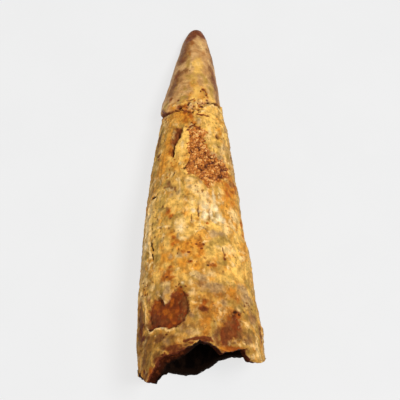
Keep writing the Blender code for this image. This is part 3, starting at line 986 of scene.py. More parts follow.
# The root: a deep flake scar on the left, a shallow one on the right, and a speckled edge.
ROOT_MARKS: tuple[Mark, ...] = (
    Patch(Tone.BRICK, FLAKE_SCAR, -0.4, 0.3, 1, 0.12, 0.3),
    *blots(None, 1, 0.28, (37.7, 101, 188, 82)),
    *blots(
        Tone.BRICK, 1, 0, (36.6, 106, 53, 65), (37.7, 103, 100, 53), (39, 107, 66, 52), (37.9, 136, 100, 92),
    ),
    *blots(
        Tone.UMBER, 0.55, 0, (37.5, 103, 89, 43), (38.9, 105, 44, 42), (40.7, 127, 52, 108),
        (41.8, 125, 51, 83), (41.6, 116, 41, 76), (40.9, 116, 41, 65), (41.3, 77, 52, 40),
        (39.9, 96, 52, 48), (38.5, 99, 64, 40), (39.9, 103, 41, 49), (40.7, 89, 52, 38),
    ),
    *blots(Tone.RUST, 0.8, 0, (36.9, 135, 21, 27)),
    *blots(
        Tone.RUST, 0.6, 0, (37, 160, 77, 81), (38.4, 160, 109, 92), (37.4, 85, 64, 58), (38.4, 84, 53, 49),
        (36.5, 143, 53, 44), (36.6, 50, 44, 51), (36.5, 68, 43, 45), (44.2, 141, 39, 21),
    ),
    *blots(
        Tone.UMBER, 0.85, -0.1, (36.7, 105, 11, 11), (37.2, 102, 11, 10), (37.8, 101, 10, 9),
        (38.3, 104, 10, 11), (38.8, 103, 9, 10), (39.2, 106, 9, 9), (39.6, 109, 8, 9), (38.4, 99, 9, 8),
        (36.3, 107, 8, 10), (36.4, 112, 8, 10), (37, 98, 9, 7), (35.9, 113, 7, 9),
    ),
    Patch(Tone.BRICK, SHALLOW_SCAR, -0.15, 0.5, 0.9, 0.22, 0.9),
    *blots(Tone.CREAM, 0.85, 0, (35.3, 139, 41, 56), (38.5, 271, 31, 96)),
    *blots(
        Tone.OCHRE, 1, 0, (39.5, 85, 94, 58), (40.5, 86, 41, 44), (36, 57, 50, 61), (41.7, 113, 23, 52),
        (42.1, 72, 19, 61), (41.9, 62, 25, 68),
    ),
    *blots(
        Tone.OCHRE, 0.7, 0, (35.4, 152, 66, 60), (37.4, 76, 42, 32), (36.3, 74, 32, 31), (44.5, 152, 30, 62),
        (38, 74, 32, 22), (36.3, 47, 34, 42),
    ),
    *blots(
        Tone.GOLD, 0.75, 0, (36.3, 88, 43, 49), (37, 95, 43, 40), (41.4, 105, 25, 60), (39.8, 86, 42, 23),
        (37.1, 75, 32, 26),
    ),
    *blots(
        Tone.CREAM, 0.9, 0, (35.3, 123, 47, 48), (39.1, 43, 27, 32), (39, 32, 27, 34), (41, 34, 56, 35),
        (41.2, 51, 26, 21), (37.4, 94, 13, 30), (36.5, 158, 44, 52), (41.8, 34, 55, 38), (40.9, 46, 44, 43),
        (41.2, 41, 33, 48), (37.6, 50, 26, 36),
    ),
    *blots(
        Tone.CREAM, 0.65, 0, (37.3, 63, 42, 58), (39.7, 77, 74, 15), (41.1, 80, 52, 20), (37, 20, 25, 64),
        (40.7, 111, 31, 41), (40.5, 95, 31, 48), (41.5, 56, 21, 25), (38.2, 71, 42, 22),
    ),
    *blots(
        Tone.CREAM, 0.95, 0.07, (41.8, 131, 11, 14), (42.3, 138, 16, 21), (41.3, 141, 8, 16),
        (40.9, 157, 7, 39), (41.8, 145, 14, 16), (41.4, 125, 9, 11), (40.5, 134, 9, 11), (34.7, 157, 10, 26),
        (36, 150, 10, 18), (35.3, 160, 9, 25), (41.2, 99, 18, 20), (41.7, 152, 8, 17),
    ),
    *blots(
        Tone.OLIVE, 0.8, 0, (39.9, 79, 84, 30), (39, 94, 74, 39), (37.1, 59, 53, 58), (38.4, 29, 94, 97),
        (40.5, 42, 66, 80), (35.9, 125, 41, 74), (40.2, 109, 41, 60), (37.3, 47, 55, 51),
    ),
    *blots(
        Tone.OLIVE, 1, 0, (41.4, 141, 82, 94), (42.4, 148, 92, 80), (42.5, 134, 61, 68), (41.5, 129, 41, 62),
        (39.9, 40, 44, 56), (38.9, 24, 73, 94), (38.1, 42, 55, 45), (36.8, 25, 75, 91), (40.8, 27, 92, 41),
        (40.9, 75, 46, 16),
    ),
    *blots(Tone.OLIVE, 0.7, 0, (39.8, 98, 62, 29), (36.1, 83, 33, 50)),
    *blots(Tone.GREY, 0.85, 0, (35.9, 73, 44, 93), (35.6, 82, 44, 60), (35.9, 37, 70, 95)),
    *blots(
        Tone.GREY, 0.9, 0, (35.9, 120, 35, 35), (41.3, 121, 37, 40), (36.7, 39, 57, 69), (38.4, 34, 57, 77),
        (40.7, 44, 44, 46), (37.2, 66, 32, 34), (40.5, 102, 27, 49), (38.8, 97, 32, 26),
    ),
    *blots(Tone.GREY, 0.6, 0, (35.9, 131, 27, 31), (40, 107, 31, 40)),
    *blots(
        Tone.RUST, 0.95, 0, (37.4, 135, 32, 60), (38, 125, 24, 44), (37.1, 117, 47, 26), (37, 131, 21, 24),
        (37.4, 85, 43, 29), (38, 85, 39, 49), (43.8, 140, 30, 25), (38.4, 52, 26, 27), (42, 60, 35, 143),
        (42.3, 72, 7, 26), (38.8, 158, 98, 55),
    ),
    *blots(Tone.RUST, 0.7, -0.04, (43.7, 138, 30, 28), (42.2, 122, 7, 12)),
    *blots(
        Tone.WINE, 0.95, -0.06, (43.9, 139, 24, 3), (42.8, 131, 10, 7), (42.4, 124, 8, 13),
        (42, 117, 31, 96), (44.2, 141, 24, 2), (43, 132, 11, 5), (42.5, 127, 8, 9), (42.1, 120, 6, 11),
        (41.7, 111, 5, 20), (41.4, 105, 22, 19), (43.5, 136, 15, 2),
    ),
    *blots(
        Tone.UMBER, 0.8, 0, (38, 160, 143, 93), (39.5, 160, 86, 83), (40.6, 77, 73, 40), (40.7, 127, 41, 72),
        (40.9, 116, 31, 43), (40.5, 55, 56, 50), (39.1, 143, 55, 48), (41.85, 104, 20, 50),
        (41.1, 91, 20, 80),
    ),
    *blots(Tone.WINE, 0.8, 0, (41.4, 81, 28, 27)),
    *blots(
        Tone.WINE, 0.9, -0.04, (41.2, 95, 24, 60), (41.35, 89, 24, 50), (41.3, 84, 20, 40),
        (41.6, 100, 16, 40), (42.15, 109, 13, 60), (42.35, 116, 14, 60), (42.6, 124, 16, 60),
        (42.95, 131, 20, 60),
    ),
    *blots(
        Tone.RUST, 0.7, 0, (38.5, 118, 44, 60), (35.9, 107, 30, 50), (38.7, 63, 33, 40), (38.1, 131, 22, 43),
        (38.1, 112, 33, 34), (37.9, 139, 33, 30), (39.3, 115, 27, 33), (43.4, 135, 16, 5),
    ),
    *blots(
        Tone.UMBER, 0.62, 0, (41.3, 141, 93, 125), (42.6, 150, 123, 85), (42.5, 134, 61, 81),
        (44.3, 147, 50, 88), (37.3, 161, 135, 77), (39.2, 62, 54, 70), (40.5, 45, 97, 114),
        (38.1, 33, 92, 121),
    ),
    *blots(
        Tone.UMBER, 0.9, 0, (37.7, 158, 99, 64), (39.9, 160, 85, 64), (41, 131, 31, 53), (40.5, 144, 28, 51),
        (39.5, 19, 117, 38), (40.1, 64, 88, 51), (40.9, 157, 32, 45), (43.1, 134, 20, 40),
    ),
    *blots(
        Tone.UMBER, 0.95, -0.09, (38.6, 110, 11, 11), (38.5, 107, 10, 11), (38.9, 107, 10, 10),
        (38.9, 111, 9, 9), (37.2, 110, 12, 9), (37.1, 108, 11, 9), (37.4, 104, 11, 9), (37.9, 102, 11, 8),
        (38.1, 106, 10, 9), (36.8, 103, 9, 9), (37.4, 101, 11, 7), (37, 84, 9, 13), (36.7, 38, 10, 19),
        (36.9, 35, 9, 16), (37.1, 42, 11, 13), (37.1, 30, 8, 17), (37.5, 41, 8, 11), (38.5, 61, 9, 8),
        (38.8, 59, 8, 8), (35.9, 23, 8, 19), (37.8, 44, 8, 9), (38.9, 50, 8, 8), (41.3, 49, 7, 8),
        (39.5, 30, 8, 14),
    ),
    *blots(Tone.WINE, 0.45, 0, (37.3, 108, 100, 67), (41.3, 76, 52, 40)),
    *blots(
        Tone.WINE, 0.95, 0, (38.1, 86, 32, 47), (39.3, 141, 44, 34), (38.3, 136, 20, 54),
        (39.1, 126, 36, 78), (39.4, 156, 65, 53), (40.3, 153, 36, 52), (40.5, 65, 88, 67),
        (41.3, 71, 41, 31), (43.8, 150, 30, 28), (44.2, 146, 18, 17), (36.4, 113, 32, 23),
    ),
    *blots(
        Tone.WINE, 1, -0.12, (35.6, 111, 8, 12), (35.3, 108, 8, 10), (35.7, 106, 10, 15), (35.7, 101, 8, 14),
        (35.4, 109, 6, 7), (40.5, 122, 10, 15), (40.3, 120, 8, 9), (40.8, 125, 7, 10), (37.5, 77, 6, 6),
        (38.1, 79, 6, 7), (35.1, 154, 10, 24), (35.7, 151, 10, 18), (35.7, 147, 19, 12), (35.7, 157, 8, 22),
        (34.8, 148, 8, 16), (34.3, 157, 8, 23), (38.8, 56, 9, 10), (36.8, 130, 20, 12), (36.8, 102, 8, 6),
        (37.7, 99, 9, 6),
    ),
    *blots(
        Tone.DARK, 1, -0.16, (38, 55, 12, 20), (36.3, 172, 12, 26), (39.7, 141, 15, 25), (38.2, 51, 11, 8),
    ),
    *blots(Tone.DARK, 0.7, 0, (38.9, 142, 33, 25), (38.3, 144, 33, 16), (39.4, 132, 11, 43)),
    *blots(Tone.GREY, 1, 0.24, (36.5, 123, 49, 19)),
    *blots(Tone.CREAM, 0.8, 0.08, (36.2, 130, 21, 11), (35.8, 122, 45, 48)),
    *blots(Tone.WHITE, 0.85, 0.1, (37.1, 124, 15, 16), (39.9, 125, 9, 20), (36.4, 128, 17, 12)),
    Line(Tone.CREAM, (
        (36.3, 151), (37, 149), (37.6, 148), (38.4, 148), (39, 147), (39.6, 144), (40.1, 140),
    ), 0.11, 0.12),
    Line(Tone.CREAM, (
        (40.1, 140), (39.9, 136), (39.8, 131), (39.8, 128), (39.9, 124), (40.2, 120), (40.1, 117), (40, 114),
        (40.1, 110),
    ), 0.12, 0.1),
    Line(Tone.WINE, (
        (41.4, 104), (41.2, 101), (41.2, 98), (41.1, 94), (41, 89), (41, 86), (41.1, 82), (41.4, 81),
    ), 0.15, -0.1),
)

# Swellings and hollows too broad to be seen as marks.
FORM_MARKS: tuple[Mark, ...] = (
    *blots(None, 1, 0.2, (31, 14, 160, 190)),
    *blots(None, 1, 0.11, (1.6, 184, 160, 90)),
    *blots(
        None, 1, 0.13, (23.4, 12, 110, 140), (36, 174, 130, 180), (12.4, 172, 120, 150), (38.8, 8, 50, 100),
    ),
    *blots(None, 1, -0.12, (21.5, 160, 300, 100)),
    *blots(None, 1, -0.22, (13.1, 14, 110, 160), (42.9, 172, 180, 200), (41.5, 8, 160, 200)),
)


NAMED_MARKS = (
    *TIP_MARKS,
    *MEND_MARKS,
    *CROWN_MARKS,
    *FLANK_SHADE_MARKS,
    *MIDDLE_MARKS,
    *ROOT_MARKS,
    *FORM_MARKS,
)


@dataclass(frozen=True)
class Scatter:
    """Marks strewn at random: small pits all over, and stains on the hidden underside.

    A pair is the least value and the range above it, where no comment says something else.
    """

    seed: int = 11
    clusters: int = 60
    cluster_along: Span = (14, 29)
    cluster_spread: Span = (0.5, 1.2)
    cluster_pits: tuple[int, int] = (3, 14)  # the fewest pits, and one more than the most
    spread_turn: float = 11.0  # the turn that goes with a millimetre of spread
    pit_ends: Span = (13.5, 44)  # how near the tip and how far from it a pit may lie
    pit_size: Span = (0.05, 0.08)
    pit_long: float = 1.2  # a pit's length and depth over its breadth
    pit_deep: float = 1.1
    pit_strength: float = 0.8
    pit_tones: tuple[Tone, ...] = (Tone.UMBER, Tone.UMBER, Tone.OLIVE, Tone.WINE, Tone.RUST)
    stains: int = 150
    stain_along: Span = (2, 41)
    stain_turn: Span = (195, 155)
    stain_length: Span = (0.4, 1.6)
    stain_breadth: Span = (0.3, 0.9)
    stain_strength: Span = (0.45, 0.4)
    stain_relief: float = 0.03
    stain_lean: float = 30.0
    stain_ragged: float = 0.9
    full_breadth: float = 15.0  # distance from the tip at which stains have their full breadth
    bare_tones: tuple[Tone, ...] = (Tone.ROCK, Tone.BRICK, Tone.WINE, Tone.DARK)

    def marks(self) -> list[Mark]:
        """Return the pits and the stains."""
        chance = np.random.default_rng(self.seed)
        return self.strew_pits(chance) + self.strew_stains(chance)

    def strew_pits(self, chance: np.random.Generator) -> list[Mark]:
        """Strew clusters of small pits.

        Args:
            chance: the source of their places, sizes and tones.

        Returns:
            The pits.
        """
        pits: list[Mark] = []
        for _ in range(self.clusters):
            middle = draw(chance, self.cluster_along)
            bearing = FULL_TURN * chance.random()
            spread = draw(chance, self.cluster_spread)
            for _ in range(chance.integers(*self.cluster_pits)):
                along = float(np.clip(middle + chance.normal(0, spread), *self.pit_ends))
                turn = bearing + chance.normal(0, spread) * self.spread_turn
                size = self.pit_size[0] + self.pit_size[1] * chance.random() ** 2
                tone = self.pit_tones[chance.integers(len(self.pit_tones))]
                sizes = (size * self.pit_long, size, -size * self.pit_deep)
                pits.append(Blot(tone, along, turn, *sizes, strength=self.pit_strength))
        return pits

    def strew_stains(self, chance: np.random.Generator) -> list[Mark]:
        """Strew stains and streaks over the underside.

        Args:
            chance: the source of their places, sizes and tones.

        Returns:
            The stains.
        """
        stains: list[Mark] = []
        tones = [tone for tone in Tone if tone not in self.bare_tones]
        for _ in range(self.stains):
            along = draw(chance, self.stain_along)
            turn = draw(chance, self.stain_turn)
            length = draw(chance, self.stain_length)
            least, more = self.stain_breadth
            breadth = least + more * chance.random() * min(1.0, along / self.full_breadth)
            tone = tones[chance.integers(len(tones))]
            relief = float(chance.normal(0, self.stain_relief))
            strength = draw(chance, self.stain_strength)
            lean = self.stain_lean * chance.normal()
            sizes = (length, breadth, relief, lean, strength, self.stain_ragged)
            stains.append(Blot(tone, along, turn, *sizes))
        return stains


@dataclass(frozen=True)
class Seam:
    """The mended break: a ragged line round the crown, open here and filled there.

    Attributes:
        course: for each turn, the seam's place along, its depth and its half width.
        stray: how far the line strays from its course.
        sand_turns: the turns between which it is filled with sandy glue, with soft ends.
        sand_reach: half the length of tooth that the sandy glue covers.
    """

    course: tuple[tuple[float, float, float, float], ...] = (
        (24, 11.8, 0.22, 0.09), (36, 12.05, 0.30, 0.11), (43, 12.15, 0.12, 0.09), (51, 12.3, 0.34, 0.12),
        (60, 12.6, 0.10, 0.10), (71, 13.0, 0.16, 0.12), (79, 13.5, 0.12, 0.13), (88, 13.6, 0.12, 0.14),
        (102, 13.7, 0.12, 0.13), (114, 13.2, 0.18, 0.13), (128, 13.5, 0.22, 0.13), (140, 13.6, 0.30, 0.15),
        (152, 13.4, 0.40, 0.24), (164, 13.1, 0.44, 0.32), (176, 13.0, 0.42, 0.30), (192, 12.9, 0.30, 0.18),
        (230, 12.7, 0.22, 0.14), (280, 12.3, 0.24, 0.13), (330, 11.9, 0.20, 0.11),
    )
    stray: float = 0.10
    sand_turns: Window = (54.0, 70.0, 110.0, 126.0)
    sand_reach: float = 0.85

    def along(self, skin: Skin) -> Array:
        """Return the seam's place along at each vertex's turn."""
        return self.value(skin.turn, 1) + self.stray * skin.wander[:, 0]

    def value(self, turn: Array, column: int) -> Array:
        """Read one of the course's columns.

        Args:
            turn: the turns at which it is read.
            column: the column's number.

        Returns:
            Its value at each turn.
        """
        turns = [row[0] for row in self.course]
        values = [row[column] for row in self.course]
        return np.interp(turn % FULL_TURN, turns, values, period=FULL_TURN)

    def groove(self, skin: Skin) -> Array:
        """Return how much of the open seam each vertex has, from 0 to 1."""
        gap = (skin.along - self.along(skin)) / self.value(skin.turn, 3)
        return 1 / (1 + gap**4)

    def sand(self, skin: Skin) -> Array:
        """Work out where sandy glue fills the seam.

        Args:
            skin: where each vertex lies.

        Returns:
            How much of the glue each vertex has, from 0 to 1.
        """
        gap = (skin.along - self.along(skin)) / self.sand_reach
        return window(self.sand_turns, skin.turn) / (1 + gap**4)


# ---- The tooth ----


@dataclass(frozen=True)
class Wear:
    """How wear, age and shade vary over the tooth, apart from its marks.

    Pairs are where something begins and where it is full.
    """

    outside: Span = (0.35, 0.05)  # share of the way inward
    enamel: Span = (0.3, -0.5)  # distance past the seam
    scar: Span = (0.5, 1.0)  # share of a scar's relief
    scar_polish: float = 0.75
    gaping: Span = (0.12, 0.30)  # depth of the seam at which its groove is stained
    loose_rock: Span = (0.3, 0.8)  # strength of the rock's stain
    # Painted shade in the loose rock's clefts and pits and painted light on its crests: tone, strength and
    # heights.
    rock_stains: tuple[tuple[Tone, float, Span], ...] = (
        (Tone.WINE, 0.8, (-0.03, -0.13)),
        (Tone.CREAM, 0.7, (0.12, 0.22)),
        (Tone.DARK, 0.8, (-0.11, -0.20)),
    )
    crumbs: Lumps = Lumps(0.34, 0.30, 1, 4.0)
    clods: Lumps = Lumps(0.36, 0.62, 2, 5.0)
    rock_sunk: float = 0.06
    sand_relief: float = 0.75
    sand_rust: float = 0.22
    sand_grit: float = 0.30
    # The fine relief of the surface.
    streaks: Lumps = Lumps(0.070, (0.35, 3.0, 0.35), 3, 1.0)
    swells: Lumps = Lumps(0.070, 2.2, 2, 2.0)
    grain: Lumps = Lumps(0.065, 0.42, 2, 3.0)
    polish_smooths: float = 0.75
    # Painted shade that darkens the root, which starts later on the left and is thin on the right.
    root_shade: Span = (33.2, 37.2)  # distance from the tip
    later: float = 3.0
    later_side: Window = (140, 165, 290, 345)
    thick_side: Window = (28, 62, 310, 355)
    thin_patina: float = 0.35
    spared: float = 0.5
    # The break: chipped all round, bevelled on the left, with painted shade below, and painted light where
    # the sky reaches it.
    chips: Lumps = Lumps(0.20, 1.1, 2, 5.0)
    splinters: Lumps = Lumps(0.15, 0.35, 2, 6.0)
    chipped_reach: float = 0.9
    bevel: float = 0.9
    bevel_side: Window = (98, 118, 134, 146)
    lit_left: Window = (96, 112, 160, 172)
    lit_right: Window = (22, 40, 86, 97)
    right_light: float = 0.75
    underside: Window = (196, 212, 336, 352)
    soot: Span = (-0.5, -0.1)  # distance past the root's end
    # How far the outside's colour is carried over the broken rim on the right, as painted light on its lip:
    # share and turns.
    thin_wall: tuple[tuple[float, Span], ...] = ((0.24, (88, 76)), (0.16, (56, 46)))
    thin_wall_from: Span = (3, 15)
    deepest: float = 10.0  # distance into the cavity at which it counts as deep
    roof: Window = (5, 30, 160, 185)


@dataclass
class Tooth:
    """The fossil tooth, one solid with a broken and hollow root."""

    form: ToothForm = field(default_factory=ToothForm)
    seam: Seam = field(default_factory=Seam)
    wear: Wear = field(default_factory=Wear)
    scatter: Scatter = field(default_factory=Scatter)
    name: str = "fossil_tooth"
    sides: int = 96
    first_ring: float = 0.02
    ring_growth: float = 1.35
    widest_step: float = 1.5
    rim_steps: int = 3
    cavity_steps: int = 14
    cavity_crowding: float = 1.4
    voxel: float = 0.105
    most_triangles: int = 194000
    skin_band: float = 0.10  # how near a surface the vertices that belong to it lie
    least_wall: float = 0.05  # the wall counts as this thick at least
    blunt_end: float = 1.0  # the tip's vertices this near its end stay as remeshed
    cavity_before: float = 0.3  # the cavity's wall begins this far before its blind end
    cavity_after: float = 1.0  # and is trued up from this far past it
    least_along: float = 0.3  # the half width is measured no nearer the tip than this
    raised_most: float = 0.6
    sunken_most: float = 1.0
    hollow_from: float = 0.30

    def ring_distances(self) -> list[float]:
        """Space the blank's rings, crowded towards the tip.

        Returns:
            Each ring's distance from the tip.
        """
        distances = [self.first_ring]
        step = self.first_ring
        while distances[-1] + step < self.form.length:
            distances.append(distances[-1] + step)
            step = min(step * self.ring_growth, self.widest_step)
        return distances[:-1] + [self.form.length]

    def grow_blank(self) -> bpy.types.Object:
        """Grow the straight blank: outside from the tip to the root, over the rim and up the cavity.

        Returns:
            The closed blank, its axis along -Y from the tip at the origin.
        """
        form = self.form
        outside = self.ring_distances()
        rings = [(distance, float(form.crown_radius(distance))) for distance in outside]
        edge = form.width / 2
        mouth = float(form.cavity_radius(form.length))
        for step in range(1, self.rim_steps + 1):
            rings.append((form.length, edge + (mouth - edge) * step / self.rim_steps))
        for step in range(1, self.cavity_steps):
            share = 1 - step / self.cavity_steps
            distance = form.cavity_end + (form.length - form.cavity_end) * share**self.cavity_crowding
            rings.append((distance, float(form.cavity_radius(distance))))

        deselect_all()
        bpy.ops.mesh.primitive_circle_add(
            vertices=self.sides,
            radius=rings[0][1],
            location=(0, -rings[0][0], 0),
            rotation=(math.pi / 2, 0, 0),
        )
        blank = bpy.context.object
        blank.name = self.name
        blank.data.name = self.name
        bpy.ops.object.transform_apply(location=True, rotation=True, scale=True)
        bpy.ops.object.mode_set(mode="EDIT")
        bpy.ops.mesh.select_all(action="SELECT")
        for (before, narrow), (after, wide) in zip(rings, rings[1:]):
            bpy.ops.mesh.extrude_region_move(TRANSFORM_OT_translate={"value": (0, before - after, 0)})
            growth = wide / narrow
            bpy.ops.transform.resize(value=(growth, 1, growth), center_override=(0, -after, 0))
        bpy.ops.mesh.edge_face_add()
        bpy.ops.object.mode_set(mode="OBJECT")
        self.close_tip(blank)
        return blank

    def close_tip(self, blank: bpy.types.Object) -> None:
        """Fill the first ring, and turn all faces outwards.

        Args:
            blank: the blank, open at its tip.
        """
        mesh = blank.data
        bpy.ops.object.mode_set(mode="EDIT")
        bpy.ops.mesh.select_all(action="DESELECT")
        bpy.ops.object.mode_set(mode="OBJECT")
        for vertex in mesh.vertices:
            vertex.select = vertex.co.y > -self.first_ring * 1.01
        bpy.ops.object.mode_set(mode="EDIT")
        bpy.ops.mesh.select_mode(type="VERT")
        bpy.ops.mesh.edge_face_add()
        bpy.ops.mesh.select_all(action="SELECT")
        bpy.ops.mesh.normals_make_consistent(inside=False)
        bpy.ops.object.mode_set(mode="OBJECT")

    def measure_skin(self, mesh: bpy.types.Mesh) -> Skin:
        """Find where each vertex of the remeshed blank lies, and true up the outside and the cavity.

        Args:
            mesh: the remeshed blank, whose vertices are moved on to the exact round surfaces.

        Returns:
            The skin's places and coordinates.
        """
        form = self.form
        places = vertex_places(mesh)
        distance = -places[:, 1]
        radius = np.hypot(places[:, 0], places[:, 2])
        outer = form.crown_radius(np.maximum(distance, 0.0))
        inner = form.cavity_radius(distance)
        inward = np.clip((outer - radius) / np.maximum(outer - inner, self.least_wall), 0.0, 1.0)
        inward[distance < form.cavity_end - self.cavity_before] = 0.0

        middle = (distance > self.blunt_end) & (distance < form.length - 2 * self.voxel)
        hollow = distance > form.cavity_end + self.cavity_after
        on_outside = middle & (np.abs(outer - radius) < self.skin_band)
        on_inside = middle & hollow & (np.abs(inner - radius) < self.skin_band)
        true_radius = np.where(on_outside, outer, np.where(on_inside, inner, radius))
        scale = true_radius / np.maximum(radius, 1e-6)
        places[:, 0] *= scale
        places[:, 2] *= scale
        inward[on_outside] = 0.0
        inward[on_inside] = 1.0
        move_vertices(mesh, places)

        turn = np.degrees(np.arctan2(places[:, 2], places[:, 0])) % FULL_TURN
        along = distance - form.break_shift(distance, turn)
        half_width = form.crown_radius(np.maximum(along, self.least_along))
        return Skin(places, distance, along, turn, half_width, inward)

    def lay_marks(self, skin: Skin) -> tuple[Array, Masks]:
        """Lay every mark on the skin.

        Args:
            skin: where each vertex lies.

        Returns:
            The marks' relief in millimetres, and the mask of each stain.
        """
        masks = {tone.value: np.zeros(len(skin.along)) for tone in Tone}
        relief = np.zeros(len(skin.along))
        order = np.argsort(skin.along)
        ordered = skin.along[order]
        for mark in (*NAMED_MARKS, *self.scatter.marks()):
            first, last = np.searchsorted(ordered, mark.span())
            rows = order[first:last]
            stain, share = mark.cover(skin.part(rows))
            relief[rows] += mark.relief * share
            if mark.tone is not None:
                mask = masks[mark.tone.value]
                mask[rows] = np.maximum(mask[rows], mark.strength * stain)
        return relief, masks

    def stain(self, masks: Masks, tone: Tone, cover: Array) -> None:
        """Strengthen a stain's mask wherever the cover is stronger."""
        np.maximum(masks[tone.value], cover, out=masks[tone.value])

    def weather(self, skin: Skin) -> tuple[Array, Masks]:
        """Work out the relief, the stains and the painted light and shade of the whole skin.

        Args:
            skin: where each vertex lies.

        Returns:
            The relief in millimetres, and the named masks from 0 to 1.
        """
        wear = self.wear
        outside = smooth_step(*wear.outside, skin.inward)
        relief, masks = self.lay_marks(skin)
        sand = self.seam.sand(skin)
        relief -= self.open_seam(skin, sand, masks)

        tip = smooth_step(*wear.enamel, skin.along - self.seam.along(skin))
        scars = [Patch(None, outline).cover(skin)[1] for outline in (FLAKE_SCAR, SHALLOW_SCAR)]
        polish = np.maximum(tip, wear.scar_polish * smooth_step(*wear.scar, np.maximum(*scars)))
        loose = smooth_step(*wear.loose_rock, masks[Tone.ROCK.value])
        rubble = self.crumble_rock(skin, loose, masks)
        relief += self.texture(skin, polish) + np.maximum(loose, wear.sand_relief * sand) * rubble
        masks["polish"] = polish
        masks["tip"] = tip
        masks["root_shade"] = self.root_shade(skin, masks)
        masks["grit"] = np.maximum(loose, wear.sand_grit * sand) * outside
        self.shade_break(skin, masks)
        return relief * outside, masks

    def open_seam(self, skin: Skin, sand: Array, masks: Masks) -> Array:
        """Work out the seam's groove, and stain it.

        Args:
            skin: where each vertex lies.
            sand: how much sandy glue each vertex has.
            masks: the masks, which take the seam's stains.

        Returns:
            How deep the groove is at each vertex, in millimetres.
        """
        depth = self.seam.value(skin.turn, 2)
        groove = self.seam.groove(skin)
        self.stain(masks, Tone.WINE, groove * smooth_step(*self.wear.gaping, depth))
        self.stain(masks, Tone.RUST, self.wear.sand_rust * sand)
        return depth * groove

    def crumble_rock(self, skin: Skin, loose: Array, masks: Masks) -> Array:
        """Work out the relief of loose rock, and paint shade into its clefts and pits and light on its
        crests.

        Args:
            skin: where each vertex lies.
            loose: how much loose rock each vertex has.
            masks: the masks, which take the painted shade and light.

        Returns:
            The relief in millimetres, as if the rock lay at every vertex.
        """
        wear = self.wear
        rubble = np.abs(wear.crumbs.over(skin.places)) + wear.clods.over(skin.places) - wear.rock_sunk
        for tone, strength, heights in wear.rock_stains:
            self.stain(masks, tone, strength * loose * smooth_step(*heights, rubble))
        return rubble

    def texture(self, skin: Skin, polish: Array) -> Array:
        """Work out the fine relief of the surface, away from the marks.

        Args:
            skin: where each vertex lies.
            polish: 1 where the surface is smooth enamel or a smooth scar.

        Returns:
            The relief in millimetres.
        """
        wear = self.wear
        fine = wear.streaks.over(skin.places) + wear.grain.over(skin.places)
        return (1 - wear.polish_smooths * polish) * fine + wear.swells.over(skin.places)

    def root_shade(self, skin: Skin, masks: Masks) -> Array:
        """Work out the painted shade that darkens the root towards its end.

        Args:
            skin: where each vertex lies.
            masks: the masks of the stains, of which cream and brick are half spared.

        Returns:
            The strength of the painted shade at each vertex.
        """
        wear = self.wear
        along = skin.along - wear.later * window(wear.later_side, skin.turn)
        thick = window(wear.thick_side, skin.turn)
        root_shading = smooth_step(*wear.root_shade, along) * (wear.thin_patina + (1 - wear.thin_patina) * thick)
        for tone in (Tone.CREAM, Tone.BRICK):
            root_shading = root_shading * (1 - wear.spared * masks[tone.value])
        return root_shading

    def shade_break(self, skin: Skin, masks: Masks) -> None:
        """Work out the painted light and shade of the broken end and the cavity.

        Args:
            skin: where each vertex lies.
            masks: the masks, which take those of the break and the cavity.
        """
        wear = self.wear
        turn = skin.turn
        past = skin.distance - self.form.length
        lit = window(wear.lit_left, turn) + wear.right_light * window(wear.lit_right, turn)
        masks["shaded"] = 1 - lit
        masks["underside_shade"] = window(wear.underside, turn) * smooth_step(*wear.soot, past)
        # Painted light: the outside's colour carried over the lit lip on the right.
        lit_lip_share = sum(share * smooth_step(*turns, turn) for share, turns in wear.thin_wall)
        lit_lip_share = lit_lip_share * smooth_step(*wear.thin_wall_from, turn)
        masks["inward"] = np.clip(skin.inward - lit_lip_share, 0.0, 1.0)
        masks["depth"] = np.clip(-past / wear.deepest, 0.0, 1.0)
        masks["roof"] = window(wear.roof, turn)

    def roughen_break(self, skin: Skin) -> Array:
        """Work out how the broken end is chipped and bevelled.

        Args:
            skin: where each vertex lies.

        Returns:
            How far each vertex stands out lengthwise, in millimetres.
        """
        wear = self.wear
        length = self.form.length
        near = smooth_step(length - wear.chipped_reach, length, skin.distance)
        across = skin.places * np.array((1.0, 0.0, 1.0))
        ragged = wear.chips.over(across) + wear.splinters.over(across)
        return near * (ragged - wear.bevel * window(wear.bevel_side, skin.turn) * skin.inward)

    def apply_relief(self, tooth: bpy.types.Object, relief: Array) -> None:
        """Raise and sink the skin by two Displace modifiers, each led by a vertex group.

        Args:
            tooth: the remeshed blank.
            relief: height of each vertex over the plain surface, in millimetres.
        """
        for name, most, sign in (("raised", self.raised_most, 1), ("sunken", self.sunken_most, -1)):
            group = tooth.vertex_groups.new(name=name)
            shares = np.clip(sign * relief / most, 0.0, 1.0)
            for index in np.flatnonzero(shares > 0).tolist():
                group.add([index], shares[index], "REPLACE")
            apply_modifier(tooth, "DISPLACE", vertex_group=name, strength=sign * most, mid_level=0.0)
            tooth.vertex_groups.remove(tooth.vertex_groups[name])

    def lay_down(self, mesh: bpy.types.Mesh, skin: Skin) -> None:
        """Bend, mend and break off the straight tooth, and lay it in the frame.

        Args:
            mesh: the straight tooth with its relief.
            skin: where each vertex lay before the relief was made.
        """
        form = self.form
        places = vertex_places(mesh)
        distance = -places[:, 1] - self.roughen_break(skin)
        radius = np.hypot(places[:, 0], places[:, 2])
        turn = np.arctan2(places[:, 2], places[:, 0])
        shift = form.break_shift(distance, np.degrees(turn))
        along = distance - shift
        share = along / form.length
        crown = form.crown_radius(np.maximum(along, 0.0)) / form.crown_radius(np.maximum(distance, 0.01))
        radius = np.where(distance > form.break_reach, radius * crown, radius)

